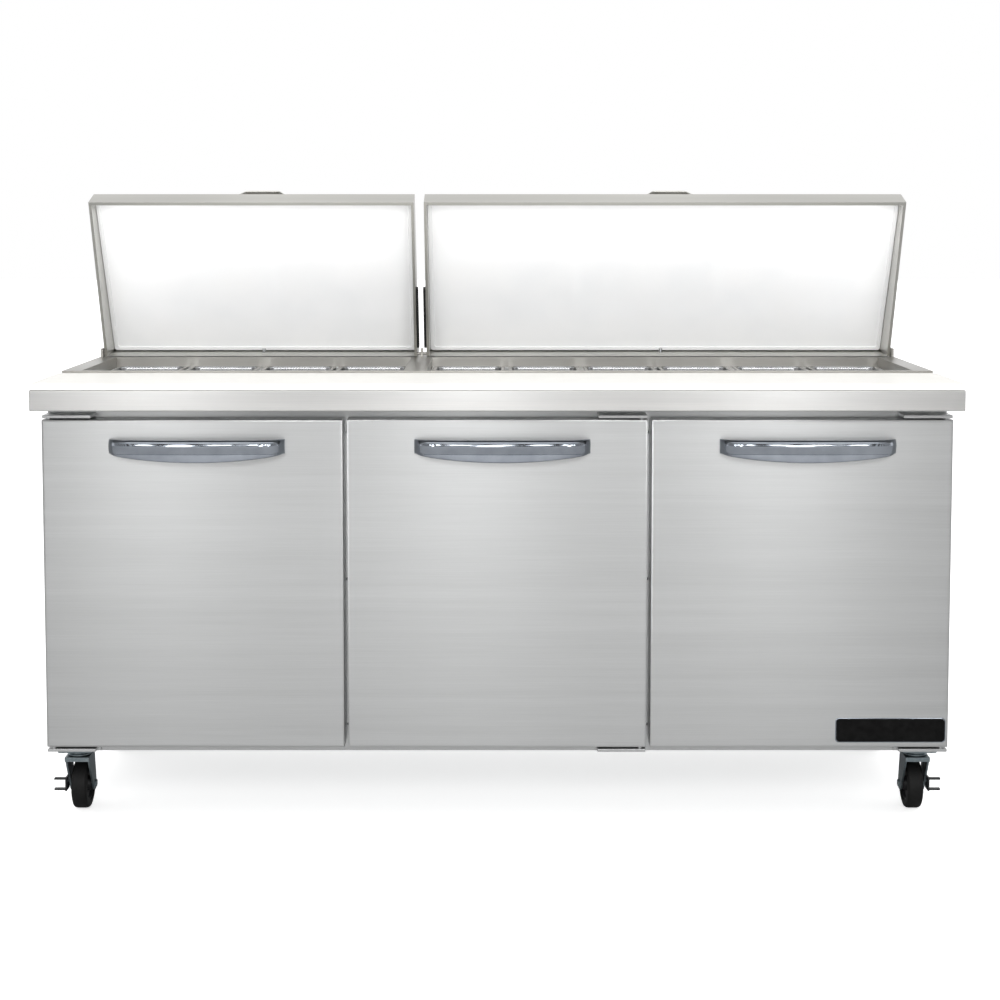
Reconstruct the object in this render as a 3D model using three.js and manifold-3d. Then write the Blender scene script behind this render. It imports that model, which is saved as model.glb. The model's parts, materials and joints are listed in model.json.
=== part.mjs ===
// Sandwich prep table: a refrigerated cabinet with three doors, a white cutting board, an ingredient
// well with lift-out pans under two hinged lids, and four casters.
// Millimetres. +X is to the right, +Y to the back, +Z up. The origin is on the floor, under the centre.

import * as THREE from 'three';
import { mergeVertices } from 'three/addons/utils/BufferGeometryUtils.js';
import Module from 'manifold-3d';

const wasm = await Module();
wasm.setup();

// ---------- driving dimensions ----------

const GAP = 0.3; // between two pieces that touch
const WIDTH = 1829; // cutting board and worktop
const DEPTH = 760; // front edge of the board to the back of the machine cover
const BODY_HALF = 907; // half the width of the cabinet
const BASE_Z = 145; // underside of the cabinet
const FLOOR_Z = 180; // inside floor
const BODY_TOP = 857.7;
const BACK_D = 745; // back of the cabinet, measured from the front edge of the board
const WALL = 45; // insulated walls
const BACK_WALL_D = 705; // inside face of the back wall
const INNER_HALF = BODY_HALF - WALL - GAP;

const BOARD_TOP = 909;
const BOARD_THICK = 12.7;
const BOARD_DEPTH = 245;
const WORKTOP_TOP = BOARD_TOP - BOARD_THICK - GAP;
const WORKTOP_DEPTH = 246.7;
const APRON_THICK = 18;
const APRON_Z = 855;

const FRAME_D = [122, 150];
const OPENING_HALF = 255; // half the width of one door opening
const OPENING_Z = [185, 812];

const DOOR_WIDTH = 599.3;
const DOOR_PITCH = 607.3;
const DOOR_D = [65, 115];
const DOOR_Z = [168, 831];
const HINGE_INSET = 12; // from the hinge edge of a door to its pin
const HINGE_D = 75;
const PIN_R = 5;
const PIN_LENGTH = 19;

const HANDLE_HALF = 175;
const HANDLE_OFFSET = 10; // to the right of the door's centre
const HANDLE_TOP = 794;
const HANDLE_END = 30; // height at its ends
const HANDLE_SAG = 15; // how much lower the grip hangs at its middle
const HANDLE_D = 20;
const HANDLE_THICK = 9;
const HANDLE_FOOT = 26;

// outer and inner are measured along the door from the pin, above and below from the door's ends
const BRACKET = { thick: 6, flange: 4.7, flangeHeight: 18, outer: 11, inner: 86, above: 3, below: 4, lip: 9 };
const GASKET = { half: [257, 275], low: [170, 183], high: [814, 828] };

const DECK_TOP = 913;
const DECK_D = [247, BACK_D];
const WELL_D = [262, 620];
const WELL_LEDGE = 9;
const LEDGE_TOP = 882;
const GRID_Z = [LEDGE_TOP + GAP, LEDGE_TOP + 8.5];
const BAR = 8; // width of one support bar
const WELLS = [
  { side: 'left', x: [-868, -195.5], columns: 4 },
  { side: 'right', x: [-148.5, 868], columns: 6 },
];

const PAN = { width: 162, depth: 176, rim: 8, rimThick: 1.7, height: 100, draft: 10, wall: 1.5 };
const PAN_ROWS = 2;
const PAN_GROUP = 2; // neighbouring columns that lift out together

const LID_PIVOT = { d: 626, z: 921 };
const LID_OPEN = 66.6; // degrees
const LID_WALL = 6;
const LID_PROFILE = [[376, -5], [370, 55], [-48, 95], [-5, -5]]; // forwards and up from the pivot, shut
const LIDS = [
  { side: 'left', x: [-895, -183] },
  { side: 'right', x: [-161, 895] },
];
const LINER_THICK = 15;
const LID_HANDLE = { half: 53, offset: 16, back: 345, front: 368, low: 57.8, under: 74, top: 82 };
const EAR_THICK = 5;
const EAR_PIN_R = 3;

const WHEEL = { r: 51, half: 16, bore: 5.6 };
const CASTER_X = 866.5;
const CASTER_D = { front: 176, rear: 620 };
const TRAIL = 32; // from the swivel axis back to the axle
const CROWN_Z = [113, 122];
const LEG_IN = 21;
const LEG_OUT = 25;
const PLATE_Z = [137, BASE_Z - GAP];
const KINGPIN_R = 8;

const BRAKE_PIVOT = { y: 10, z: 62, r: 3 };

const BAY = { x: [-861.4, -350], d: [520, BACK_D - GAP], z: [FLOOR_Z + GAP, 460], wall: 3 };
const BAY_FLOOR = BAY.z[0] + BAY.wall + GAP;
const AIR_SLOTS = { rows: 11, low: 195, pitch: 22, height: 9, half: 105, columns: [-732, -482] };
const COMPRESSOR = { x: -745, d: 636 };
const CONDENSER = { x: [-640, -370], d: [684, 728], top: 425, fan: { x: -505, d: 655, z: 315, r: 95 } };
const EVAPORATOR = {
  x: [-150, 350], d: [640, BACK_WALL_D - GAP], z: [500, 760], fan: { x: 100, d: 598, z: 630, r: 90 },
};
const FAN_HUB = { r: 20, length: 20 };
const MOTOR_R = 29;

const SHELF_Z = [498, 506];
const SHELF_D = [165, 575];
const SHELF_HALF = 244;
const SHELF_HOLES = [4, 3]; // across and front to back
const REST_HEIGHT = 14; // of the small rests under a shelf
const REST_OFFSET = 225; // from the middle of an opening to a rear rest

// ---------- materials ----------

const paint = (color, roughness, metalness) => {
  return new THREE.MeshStandardMaterial({ color, roughness, metalness });
};
const STEEL = paint(0xb4b6b7, 0.35, 1);
const CHROME = paint(0xd8dadc, 0.1, 1);
const ZINC = paint(0x9aa09f, 0.4, 1);
const BOARD_WHITE = paint(0xf4f4f1, 0.5, 0);
const LINER_WHITE = paint(0xf2f4f6, 0.2, 0);
const GALVANISED = paint(0xa9adae, 0.5, 1);
const RUBBER = paint(0x1b1b1c, 0.8, 0);
const GASKET_GREY = paint(0x8d9093, 0.7, 0);
const BLACK_PAINT = paint(0x1c1d1f, 0.5, 0);
const ALUMINIUM = paint(0xc3c6c9, 0.4, 1);

// ---------- solids ----------

/** A closed three.js geometry as a solid that can be cut and joined. */
function solid(geometry) {
  const bare = geometry.clone();
  bare.deleteAttribute('normal');
  bare.deleteAttribute('uv');
  const merged = mergeVertices(bare, 1e-4);
  const vertProperties = new Float32Array(merged.attributes.position.array);
  const triVerts = new Uint32Array(merged.index.array);
  return new wasm.Manifold(new wasm.Mesh({ numProp: 3, vertProperties, triVerts }));
}

/** The y of a depth that is measured back from the front edge of the board. */
const yAt = (d) => d - DEPTH / 2;

/** A box between two x, two y and two z values. */
function box([x0, x1], [y0, y1], [z0, z1]) {
  const geometry = new THREE.BoxGeometry(x1 - x0, y1 - y0, z1 - z0);
  return solid(geometry.translate((x0 + x1) / 2, (y0 + y1) / 2, (z0 + z1) / 2));
}

/** A box whose second range is a depth behind the board's front edge. */
const slab = (x, d, z) => box(x, d.map(yAt), z);

/** A round bar from one point along an axis, 'x', 'y' or 'z'. */
function rod(axis, r, length, [x, y, z], sides = 24) {
  const geometry = new THREE.CylinderGeometry(r, r, length, sides);
  geometry.translate(0, length / 2, 0);
  if (axis === 'x') geometry.rotateZ(-Math.PI / 2);
  if (axis === 'z') geometry.rotateX(Math.PI / 2);
  return solid(geometry.translate(x, y, z));
}

/** A (y, z) outline extruded between two x values. */
function prism(outline, [x0, x1]) {
  const shape = new THREE.Shape(outline.map(([y, z]) => new THREE.Vector2(y, z)));
  const geometry = new THREE.ExtrudeGeometry(shape, { depth: x1 - x0, bevelEnabled: false });
  geometry.applyMatrix4(new THREE.Matrix4().set(0, 0, 1, x0, 1, 0, 0, 0, 0, 1, 0, 0, 0, 0, 0, 1));
  return solid(geometry);
}

const join = (parts) => parts.reduce((sum, part) => sum.add(part));
const cut = (body, tools) => tools.reduce((rest, tool) => rest.subtract(tool), body);

/** A finished solid as a named mesh inside a group. */
function place(group, name, body, material) {
  const { numProp, vertProperties, triVerts } = body.getMesh();
  const geometry = new THREE.BufferGeometry();
  const position = new Float32Array((vertProperties.length / numProp) * 3);
  for (let i = 0; i < position.length / 3; i += 1) {
    for (let k = 0; k < 3; k += 1) position[3 * i + k] = vertProperties[numProp * i + k];
  }
  geometry.setAttribute('position', new THREE.BufferAttribute(position, 3));
  geometry.setIndex(new THREE.BufferAttribute(new Uint32Array(triVerts), 1));
  geometry.computeVertexNormals();
  const mesh = new THREE.Mesh(geometry, material);
  mesh.name = name;
  group.add(mesh);
  return mesh;
}

// ---------- cabinet ----------

function endPanel(side) {
  const x = [BODY_HALF - WALL, BODY_HALF].map((v) => v * side).sort((a, b) => a - b);
  return slab(x, [FRAME_D[1] + GAP, BACK_D], [BASE_Z, BODY_TOP]);
}

const basePanel = () => slab([-INNER_HALF, INNER_HALF], [FRAME_D[1] + GAP, BACK_D], [BASE_Z, FLOOR_Z]);

/** The back wall, with the corner of the machine bay left out and two arms under each shelf. */
function backPanel() {
  const wall = slab([-INNER_HALF, INNER_HALF], [BACK_WALL_D, BACK_D], [FLOOR_Z + GAP, BODY_TOP]);
  const besideBay = [-INNER_HALF - 1, BAY.x[1] + GAP];
  const corner = slab(besideBay, [BACK_WALL_D - 1, BACK_D + 1], [FLOOR_Z, BAY.z[1] + GAP]);
  return join([cut(wall, [corner]), ...shelfRests([SHELF_D[1] - 15, BACK_WALL_D + 1])]);
}

/** Two small rests under every shelf, over one range of depth. */
function shelfRests(d) {
  const rests = [];
  for (const centre of [-DOOR_PITCH, 0, DOOR_PITCH]) {
    for (const x of [centre - REST_OFFSET, centre + REST_OFFSET]) {
      rests.push(slab([x - 8, x + 8], d, [SHELF_Z[0] - REST_HEIGHT, SHELF_Z[0] - GAP]));
    }
  }
  return rests;
}

/** The welded front frame: one plate with three openings and the front shelf rests behind its posts. */
function faceFrame() {
  const plate = slab([-BODY_HALF, BODY_HALF], FRAME_D, [BASE_Z, BODY_TOP]);
  const openings = [-1, 0, 1].map((i) => {
    const centre = i * DOOR_PITCH;
    return slab([centre - OPENING_HALF, centre + OPENING_HALF], [FRAME_D[0] - 1, FRAME_D[1] + 1], OPENING_Z);
  });
  const posts = [-1, 0, 1].flatMap((i) => [-1, 1].map((s) => {
    const edge = i * DOOR_PITCH + s * OPENING_HALF;
    const x = [edge - s * 42, edge + s * 6].sort((a, b) => a - b);
    return slab(x, [FRAME_D[1] - 8, SHELF_D[0] + 20], [SHELF_Z[0] - REST_HEIGHT, SHELF_Z[0] - GAP]);
  }));
  const ends = [-1, 1].map((s) => {
    const x = [s * INNER_HALF, s * BODY_HALF].sort((a, b) => a - b);
    return slab(x, [FRAME_D[1], SHELF_D[0] + 30], OPENING_Z);
  });
  return cut(join([cut(plate, openings), ...posts]), ends);
}

/** The slab under the cutting board, with its front apron and the strip that rests on the cabinet. */
function worktop() {
  const top = [LEDGE_TOP, WORKTOP_TOP];
  return join([
    slab([-WIDTH / 2, WIDTH / 2], [0, APRON_THICK], [APRON_Z, WORKTOP_TOP]),
    slab([-WIDTH / 2, WIDTH / 2], [APRON_THICK - 1, WORKTOP_DEPTH], top),
    slab([-BODY_HALF, BODY_HALF], [FRAME_D[0], WORKTOP_DEPTH], [BODY_TOP + GAP, LEDGE_TOP + 1]),
  ]);
}

/** The deck around the two wells, with a ledge in each and the ears that the lids turn on. */
function wellFrame() {
  const deck = slab([-BODY_HALF, BODY_HALF], DECK_D, [BODY_TOP + GAP, DECK_TOP]);
  const wells = WELLS.flatMap(({ x }) => [
    slab(x, WELL_D, [LEDGE_TOP, DECK_TOP + 1]),
    slab([x[0] + WELL_LEDGE, x[1] - WELL_LEDGE], [WELL_D[0] + WELL_LEDGE, WELL_D[1] - WELL_LEDGE],
      [BODY_TOP - 1, LEDGE_TOP + 1]),
  ]);
  return join([cut(deck, wells), ...lidEars()]);
}

function lidEars() {
  const y = yAt(LID_PIVOT.d);
  const gap = 2;
  const between = (LIDS[0].x[1] + LIDS[1].x[0]) / 2;
  const ear = (x0) => box([x0, x0 + EAR_THICK], [y - 14, y + 14], [DECK_TOP - 1, LID_PIVOT.z + 12]);
  const pin = (x0, x1) => rod('x', EAR_PIN_R, x1 - x0, [x0, y, LID_PIVOT.z], 16);
  return [
    ear(LIDS[0].x[0] - gap - EAR_THICK),
    ear(between - EAR_THICK / 2),
    ear(LIDS[1].x[1] + gap),
    pin(LIDS[0].x[0] - gap - 1, LIDS[0].x[0] + LID_WALL - 1),
    pin(LIDS[0].x[1] - LID_WALL + 1, LIDS[1].x[0] + LID_WALL - 1),
    pin(LIDS[1].x[1] - LID_WALL + 1, LIDS[1].x[1] + gap + 1),
  ];
}

/** The x of the middle of one pan column in a well. */
function columnX({ x, columns }, column) {
  const pitch = (x[1] - x[0]) / columns;
  return x[0] + pitch * (column + 0.5);
}

/** The bars that carry the pans: a border, one cross bar and a bar between every two columns. */
function panGrid(well) {
  const x = [well.x[0] + GAP, well.x[1] - GAP];
  const d = [WELL_D[0] + GAP, WELL_D[1] - GAP];
  const plate = slab(x, d, GRID_Z);
  const pitch = (well.x[1] - well.x[0]) / well.columns;
  const middle = (WELL_D[0] + WELL_D[1]) / 2;
  const holes = [];
  for (let first = 0; first < well.columns; first += PAN_GROUP) {
    const left = well.x[0] + pitch * first + BAR;
    const right = well.x[0] + pitch * (first + PAN_GROUP) - BAR;
    holes.push(slab([left, right], [d[0] + BAR, middle - BAR / 2], [GRID_Z[0] - 1, GRID_Z[1] + 1]));
    holes.push(slab([left, right], [middle + BAR / 2, d[1] - BAR], [GRID_Z[0] - 1, GRID_Z[1] + 1]));
  }
  return cut(plate, holes);
}

/** A block that narrows downwards, for the inside and the outside of a pan. */
function taperedBlock(halfX, halfY, draft, [z0, z1]) {
  const geometry = new THREE.BoxGeometry(2 * halfX, 2 * halfY, z1 - z0);
  geometry.translate(0, 0, (z0 + z1) / 2);
  const p = geometry.attributes.position;
  for (let i = 0; i < p.count; i += 1) {
    if (p.getZ(i) < (z0 + z1) / 2) {
      p.setX(i, p.getX(i) * (1 - draft / halfX));
      p.setY(i, p.getY(i) * (1 - draft / halfY));
    }
  }
  return solid(geometry);
}

/** Pans of two neighbouring columns and two rows, joined at their rims, about the centre of the group. */
function panGroup(pitch) {
  const rowPitch = (WELL_D[1] - WELL_D[0]) / PAN_ROWS;
  const top = GRID_Z[1] + GAP + PAN.rimThick;
  const halfX = PAN.width / 2 - PAN.rim;
  const halfY = PAN.depth / 2 - PAN.rim;
  const rimX = (pitch + PAN.width) / 2;
  const rimY = (rowPitch + PAN.depth) / 2;
  const bodies = [box([-rimX, rimX], [-rimY, rimY], [top - PAN.rimThick, top])];
  const insides = [];
  for (const x of [-pitch / 2, pitch / 2]) {
    for (const y of [-rowPitch / 2, rowPitch / 2]) {
      const outer = taperedBlock(halfX, halfY, PAN.draft, [top - PAN.height, top]);
      const hollow = [top - PAN.height + PAN.wall, top + 1];
      const inner = taperedBlock(halfX - PAN.wall, halfY - PAN.wall, PAN.draft, hollow);
      bodies.push(outer.translate([x, y, 0]));
      insides.push(inner.translate([x, y, 0]));
    }
  }
  return cut(join(bodies), insides);
}

// ---------- refrigeration ----------

function machineBay() {
  const { x, d, z, wall } = BAY;
  const inside = slab([x[0] + wall, x[1] - wall], [d[0] + wall, d[1] + 1], [z[0] + wall, z[1] - wall]);
  return cut(slab(x, d, z), [inside]);
}

/** The rear cover, with two columns of air slots. */
function machineCover() {
  const plate = slab([BAY.x[0] - 8, BAY.x[1] + 10], [BACK_D + GAP, DEPTH], [BASE_Z + 15, BAY.z[1] + 10]);
  const slots = [];
  for (let row = 0; row < AIR_SLOTS.rows; row += 1) {
    const z = AIR_SLOTS.low + row * AIR_SLOTS.pitch;
    for (const x of AIR_SLOTS.columns) {
      const across = [x - AIR_SLOTS.half, x + AIR_SLOTS.half];
      slots.push(slab(across, [BACK_D - 1, DEPTH + 1], [z, z + AIR_SLOTS.height]));
    }
  }
  return cut(plate, slots);
}

function compressor() {
  const outline = [[0, 8], [64, 8], [78, 30], [80, 100], [66, 138], [34, 156], [0, 160]];
  const geometry = new THREE.LatheGeometry(outline.map(([r, z]) => new THREE.Vector2(r, z)), 28);
  geometry.rotateX(Math.PI / 2);
  const foot = box([-85, 85], [-70, 70], [0, 9]);
  return solid(geometry).add(foot).translate([COMPRESSOR.x, yAt(COMPRESSOR.d), BAY_FLOOR]);
}

/** A finned block on the floor of the bay, with the arm and motor that carry the fan. */
function condenserCoil() {
  const { x, d, top, fan } = CONDENSER;
  const front = fan.d - 70;
  const across = [fan.x - 10, fan.x + 10];
  return join([
    slab(x, d, [BAY_FLOOR, top]),
    slab(across, [front, d[0] + 6], [BAY_FLOOR, BAY_FLOOR + 8]),
    slab(across, [front, front + 10], [BAY_FLOOR, fan.z]),
    motor(fan, front + 5),
  ]);
}

/** A finned block on the back wall, with the motor that carries the fan in front of it. */
function evaporatorCoil() {
  const { x, d, z, fan } = EVAPORATOR;
  const motorFront = fan.d + FAN_HUB.length / 2 + 3;
  return join([slab(x, d, z), rod('y', MOTOR_R, d[0] - motorFront + 1, [fan.x, yAt(motorFront), fan.z])]);
}

/** A motor from a depth to just in front of its fan's hub. */
function motor(fan, start) {
  return rod('y', MOTOR_R, fan.d - FAN_HUB.length / 2 - 15 - start, [fan.x, yAt(start), fan.z]);
}

/** A fan wheel about the y axis, centred on its hub, with pitched blades. */
function fanRotor(r) {
  const parts = [rod('y', FAN_HUB.r, FAN_HUB.length, [0, -FAN_HUB.length / 2, 0])];
  for (let i = 0; i < 5; i += 1) {
    const geometry = new THREE.BoxGeometry(r - 14, 2, 44);
    geometry.translate((r + 14) / 2, 0, 0);
    geometry.rotateX(0.35);
    geometry.rotateY((i * 2 * Math.PI) / 5);
    parts.push(solid(geometry));
  }
  return join(parts);
}

// ---------- doors ----------

/** A door about its own centre line, with a blind hole for the pin at each end of the hinge edge. */
function doorPanel(hingeSide) {
  const slabBody = slab([-DOOR_WIDTH / 2, DOOR_WIDTH / 2], DOOR_D, DOOR_Z);
  const x = hingeSide * (DOOR_WIDTH / 2 - HINGE_INSET);
  const depth = PIN_LENGTH + 2;
  return cut(slabBody, [
    rod('z', PIN_R + 1, depth, [x, yAt(HINGE_D), DOOR_Z[0] - 1]),
    rod('z', PIN_R + 1, depth, [x, yAt(HINGE_D), DOOR_Z[1] - depth + 1]),
  ]);
}

function doorGasket() {
  const d = [DOOR_D[1] + GAP, FRAME_D[0] - GAP];
  const { half, low, high } = GASKET;
  const ring = slab([-half[1], half[1]], d, [low[0], high[1]]);
  return cut(ring, [slab([-half[0], half[0]], [d[0] - 1, d[1] + 1], [low[1], high[0]])]);
}

/** A pull with a straight top, a grip that hangs lower at its middle, and a foot at each end. */
function doorHandle() {
  const shape = new THREE.Shape();
  shape.moveTo(-HANDLE_HALF, HANDLE_TOP);
  shape.lineTo(-HANDLE_HALF, HANDLE_TOP - HANDLE_END);
  const steps = 16;
  for (let i = 1; i < steps; i += 1) {
    const t = (2 * i) / steps - 1;
    shape.lineTo(t * HANDLE_HALF, HANDLE_TOP - HANDLE_END - HANDLE_SAG * (1 - t * t));
  }
  shape.lineTo(HANDLE_HALF, HANDLE_TOP - HANDLE_END);
  shape.lineTo(HANDLE_HALF, HANDLE_TOP);
  const geometry = new THREE.ExtrudeGeometry(shape, { depth: HANDLE_THICK, bevelEnabled: false });
  geometry.rotateX(Math.PI / 2);
  geometry.translate(0, yAt(HANDLE_D) + HANDLE_THICK, 0);
  const feet = [-1, 1].map((s) => {
    const x = [s * HANDLE_HALF, s * (HANDLE_HALF - HANDLE_FOOT)].sort((a, b) => a - b);
    return slab(x, [HANDLE_D + 2, DOOR_D[0] - GAP], [HANDLE_TOP - HANDLE_END, HANDLE_TOP]);
  });
  return join([solid(geometry), ...feet]);
}

/** A hinge bracket about the pin: level is +1 above the door and -1 below it, side is the hinge edge. */
function hingeBracket(level, side) {
  const { thick, flange, flangeHeight, outer, inner, above, below, lip } = BRACKET;
  const face = level > 0 ? DOOR_Z[1] + above : DOOR_Z[0] - below - thick;
  const plateZ = [face, face + thick];
  const flangeZ = level > 0 ? [face, face + flangeHeight] : [face + thick - flangeHeight, face + thick];
  const x = [side * outer, -side * inner].sort((a, b) => a - b);
  const pinZ = level > 0 ? plateZ[0] - PIN_LENGTH : plateZ[1] - 1;
  return join([
    slab(x, [HINGE_D - lip, FRAME_D[0] - GAP], plateZ),
    slab(x, [FRAME_D[0] - GAP - flange, FRAME_D[0] - GAP], flangeZ),
    rod('z', PIN_R, PIN_LENGTH + 1, [0, yAt(HINGE_D), pinZ]),
  ]);
}

// ---------- lids ----------

/** An outline moved inwards by a distance; its points run anticlockwise. */
function inset(points, distance) {
  const lines = points.map(([x0, y0], i) => {
    const [x1, y1] = points[(i + 1) % points.length];
    const length = Math.hypot(x1 - x0, y1 - y0);
    const normal = [-(y1 - y0) / length, (x1 - x0) / length];
    return { normal, offset: normal[0] * x0 + normal[1] * y0 + distance };
  });
  return lines.map((b, i) => {
    const a = lines[(i + lines.length - 1) % lines.length];
    const det = a.normal[0] * b.normal[1] - a.normal[1] * b.normal[0];
    const x = (a.offset * b.normal[1] - b.offset * a.normal[1]) / det;
    const y = (b.offset * a.normal[0] - a.offset * b.normal[0]) / det;
    return [x, y];
  });
}

/** Lid outlines are drawn forwards and up, so forwards becomes -y. */
const lidOutline = (points) => points.map(([u, v]) => [-u, v]);

/** The steel hood: top, front, back and side skirts, open below. */
function lidShell([x0, x1]) {
  const inner = inset(LID_PROFILE, LID_WALL);
  inner[0][1] -= 3 * LID_WALL;
  inner[3][1] -= 3 * LID_WALL;
  const hood = prism(lidOutline(LID_PROFILE), [x0, x1]);
  const room = prism(lidOutline(inner), [x0 + LID_WALL, x1 - LID_WALL]);
  const bore = rod('x', EAR_PIN_R + 0.6, x1 - x0 + 2, [x0 - 1, 0, 0], 16);
  return cut(hood, [room, bore]);
}

/** The white slab under the top of a lid. */
function lidLiner([x0, x1]) {
  const [, front, back] = inset(LID_PROFILE, LID_WALL + GAP);
  const outline = [
    [front[0] - 1, front[1] - LINER_THICK],
    [front[0] - 1, front[1]],
    [back[0] + 1, back[1]],
    [back[0] + 8, back[1] - LINER_THICK],
  ];
  return prism(lidOutline(outline), [x0 + LID_WALL + GAP, x1 - LID_WALL - GAP]);
}

function lidHandle([x0, x1]) {
  const { half, offset, back, front, low, under, top } = LID_HANDLE;
  const centre = (x0 + x1) / 2 + offset;
  const bar = box([centre - half, centre + half], [-front, -back], [low, top]);
  const finger = box([centre - half + 9, centre + half - 9], [-front - 1, -back + 1], [low - 1, under]);
  return cut(bar, [finger]);
}

// ---------- casters ----------

/** Mounting plate with the pin that the fork turns on, about the swivel axis. */
function casterPlate() {
  const neck = rod('z', KINGPIN_R, PLATE_Z[0] - CROWN_Z[0], [0, 0, CROWN_Z[0] + 1]);
  return join([box([-34, 34], [-47, 47], PLATE_Z), neck]);
}

/** Crown, two legs and the axle, about the swivel axis. brake is the side of the pedal's pivot, or 0. */
function casterFork(brake) {
  const axleZ = WHEEL.r;
  const leg = [[-28, CROWN_Z[1]], [TRAIL - 13, axleZ - 8], [TRAIL - 6, axleZ - 13], [TRAIL + 6, axleZ - 13],
    [TRAIL + 13, axleZ - 4], [30, CROWN_Z[1]]];
  const parts = [
    box([-LEG_OUT, LEG_OUT], [-28, 30], CROWN_Z),
    prism(leg, [-LEG_OUT, -LEG_IN]),
    prism(leg, [LEG_IN, LEG_OUT]),
    rod('x', 5, 2 * LEG_OUT, [-LEG_OUT, TRAIL, axleZ]),
    rod('x', 8, 4, [-LEG_OUT - 3, TRAIL, axleZ], 6),
    rod('x', 8, 4, [LEG_OUT - 1, TRAIL, axleZ], 6),
  ];
  if (brake) {
    const start = brake > 0 ? LEG_OUT - 0.5 : -LEG_OUT - 4.5;
    parts.push(rod('x', BRAKE_PIVOT.r, 5, [start, BRAKE_PIVOT.y, BRAKE_PIVOT.z], 12));
  }
  return cut(join(parts), [rod('z', KINGPIN_R + 0.6, 20, [0, 0, CROWN_Z[0] - 5])]);
}

/** Tyre and hub, about the axle. */
function casterWheel() {
  const { r, half, bore } = WHEEL;
  const outline = [[bore, -20], [14, -20], [16, -10], [36, -10], [40, -half], [r - 3, -half], [r, -half + 5],
    [r, half - 5], [r - 3, half], [40, half], [36, 10], [16, 10], [14, 20], [bore, 20], [bore, -20]];
  const geometry = new THREE.LatheGeometry(outline.map(([x, y]) => new THREE.Vector2(x, y)), 32);
  return solid(geometry.rotateZ(-Math.PI / 2));
}

/** The brake: an upright beside the fork with two tabs that stand outwards, about its own pivot. */
function brakePedal(side) {
  const across = (a, b) => [side * a, side * b].sort((p, q) => p - q);
  const start = LEG_OUT + 1.5;
  return cut(join([
    box(across(start, start + 3), [-18, 10], [-17, 12]),
    box(across(start + 2, 52), [-18, -9], [7, 11]),
    box(across(start + 2, 52), [-18, -9], [-15, -11]),
  ]), [rod('x', BRAKE_PIVOT.r + 0.5, 10, [side > 0 ? start - 2 : -start - 8, 0, 0], 12)]);
}

// ---------- loose pieces ----------

/** A wire shelf as one welded lattice, about its own centre line. */
function shelf() {
  const plate = slab([-SHELF_HALF, SHELF_HALF], SHELF_D, SHELF_Z);
  const holes = [];
  const [across, along] = SHELF_HOLES;
  const stepX = (2 * SHELF_HALF) / across;
  const stepD = (SHELF_D[1] - SHELF_D[0]) / along;
  for (let i = 0; i < across; i += 1) {
    for (let j = 0; j < along; j += 1) {
      const x = -SHELF_HALF + i * stepX;
      const d = SHELF_D[0] + j * stepD;
      holes.push(slab([x + 5, x + stepX - 5], [d + 5, d + stepD - 5], [SHELF_Z[0] - 1, SHELF_Z[1] + 1]));
    }
  }
  return cut(plate, holes);
}

// ---------- assembly ----------

const table = new THREE.Group();

function addCabinet() {
  place(table, 'left_end_panel', endPanel(-1), STEEL);
  place(table, 'right_end_panel', endPanel(1), STEEL);
  place(table, 'back_panel', backPanel(), STEEL);
  place(table, 'base_panel', basePanel(), STEEL);
  place(table, 'face_frame', faceFrame(), STEEL);
  place(table, 'worktop', worktop(), STEEL);
  place(table, 'well_frame', wellFrame(), STEEL);
  for (const well of WELLS) place(table, `pan_grid_${well.side}`, panGrid(well), STEEL);
}

function addRefrigeration() {
  place(table, 'machine_bay', machineBay(), GALVANISED);
  place(table, 'machine_cover', machineCover(), GALVANISED);
  place(table, 'compressor', compressor(), BLACK_PAINT);
  place(table, 'condenser_coil', condenserCoil(), ALUMINIUM);
  place(table, 'evaporator_coil', evaporatorCoil(), ALUMINIUM);
  for (const [name, { fan }] of [['condenser_fan', CONDENSER], ['evaporator_fan', EVAPORATOR]]) {
    place(table, name, fanRotor(fan.r), ALUMINIUM).position.set(fan.x, yAt(fan.d), fan.z);
  }
}

function addDoors() {
  const doors = [['left', -1, -1], ['middle', 0, 1], ['right', 1, 1]];
  for (const [name, column, hingeSide] of doors) {
    const door = new THREE.Group();
    door.position.x = column * DOOR_PITCH;
    place(door, `door_${name}_panel`, doorPanel(hingeSide), STEEL);
    place(door, `door_${name}_gasket`, doorGasket(), GASKET_GREY);
    place(door, `door_${name}_handle`, doorHandle(), CHROME).position.x = HANDLE_OFFSET;
    table.add(door);
    const x = door.position.x + hingeSide * (DOOR_WIDTH / 2 - HINGE_INSET);
    place(table, `hinge_${name}_top`, hingeBracket(1, hingeSide), STEEL).position.x = x;
    place(table, `hinge_${name}_bottom`, hingeBracket(-1, hingeSide), STEEL).position.x = x;
  }
}

function addLids() {
  for (const { side, x } of LIDS) {
    const lid = new THREE.Group();
    lid.position.set(0, yAt(LID_PIVOT.d), LID_PIVOT.z);
    lid.rotation.x = THREE.MathUtils.degToRad(-LID_OPEN);
    place(lid, `lid_${side}_shell`, lidShell(x), STEEL);
    place(lid, `lid_${side}_liner`, lidLiner(x), LINER_WHITE);
    place(lid, `lid_${side}_handle`, lidHandle(x), STEEL);
    table.add(lid);
  }
}

function addPans() {
  let number = 1;
  for (const well of WELLS) {
    const pitch = (well.x[1] - well.x[0]) / well.columns;
    for (let first = 0; first < well.columns; first += PAN_GROUP) {
      const x = (columnX(well, first) + columnX(well, first + PAN_GROUP - 1)) / 2;
      const y = yAt((WELL_D[0] + WELL_D[1]) / 2);
      place(table, `pan_set_${number}`, panGroup(pitch), STEEL).position.set(x, y, 0);
      number += 1;
    }
  }
}

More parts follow.
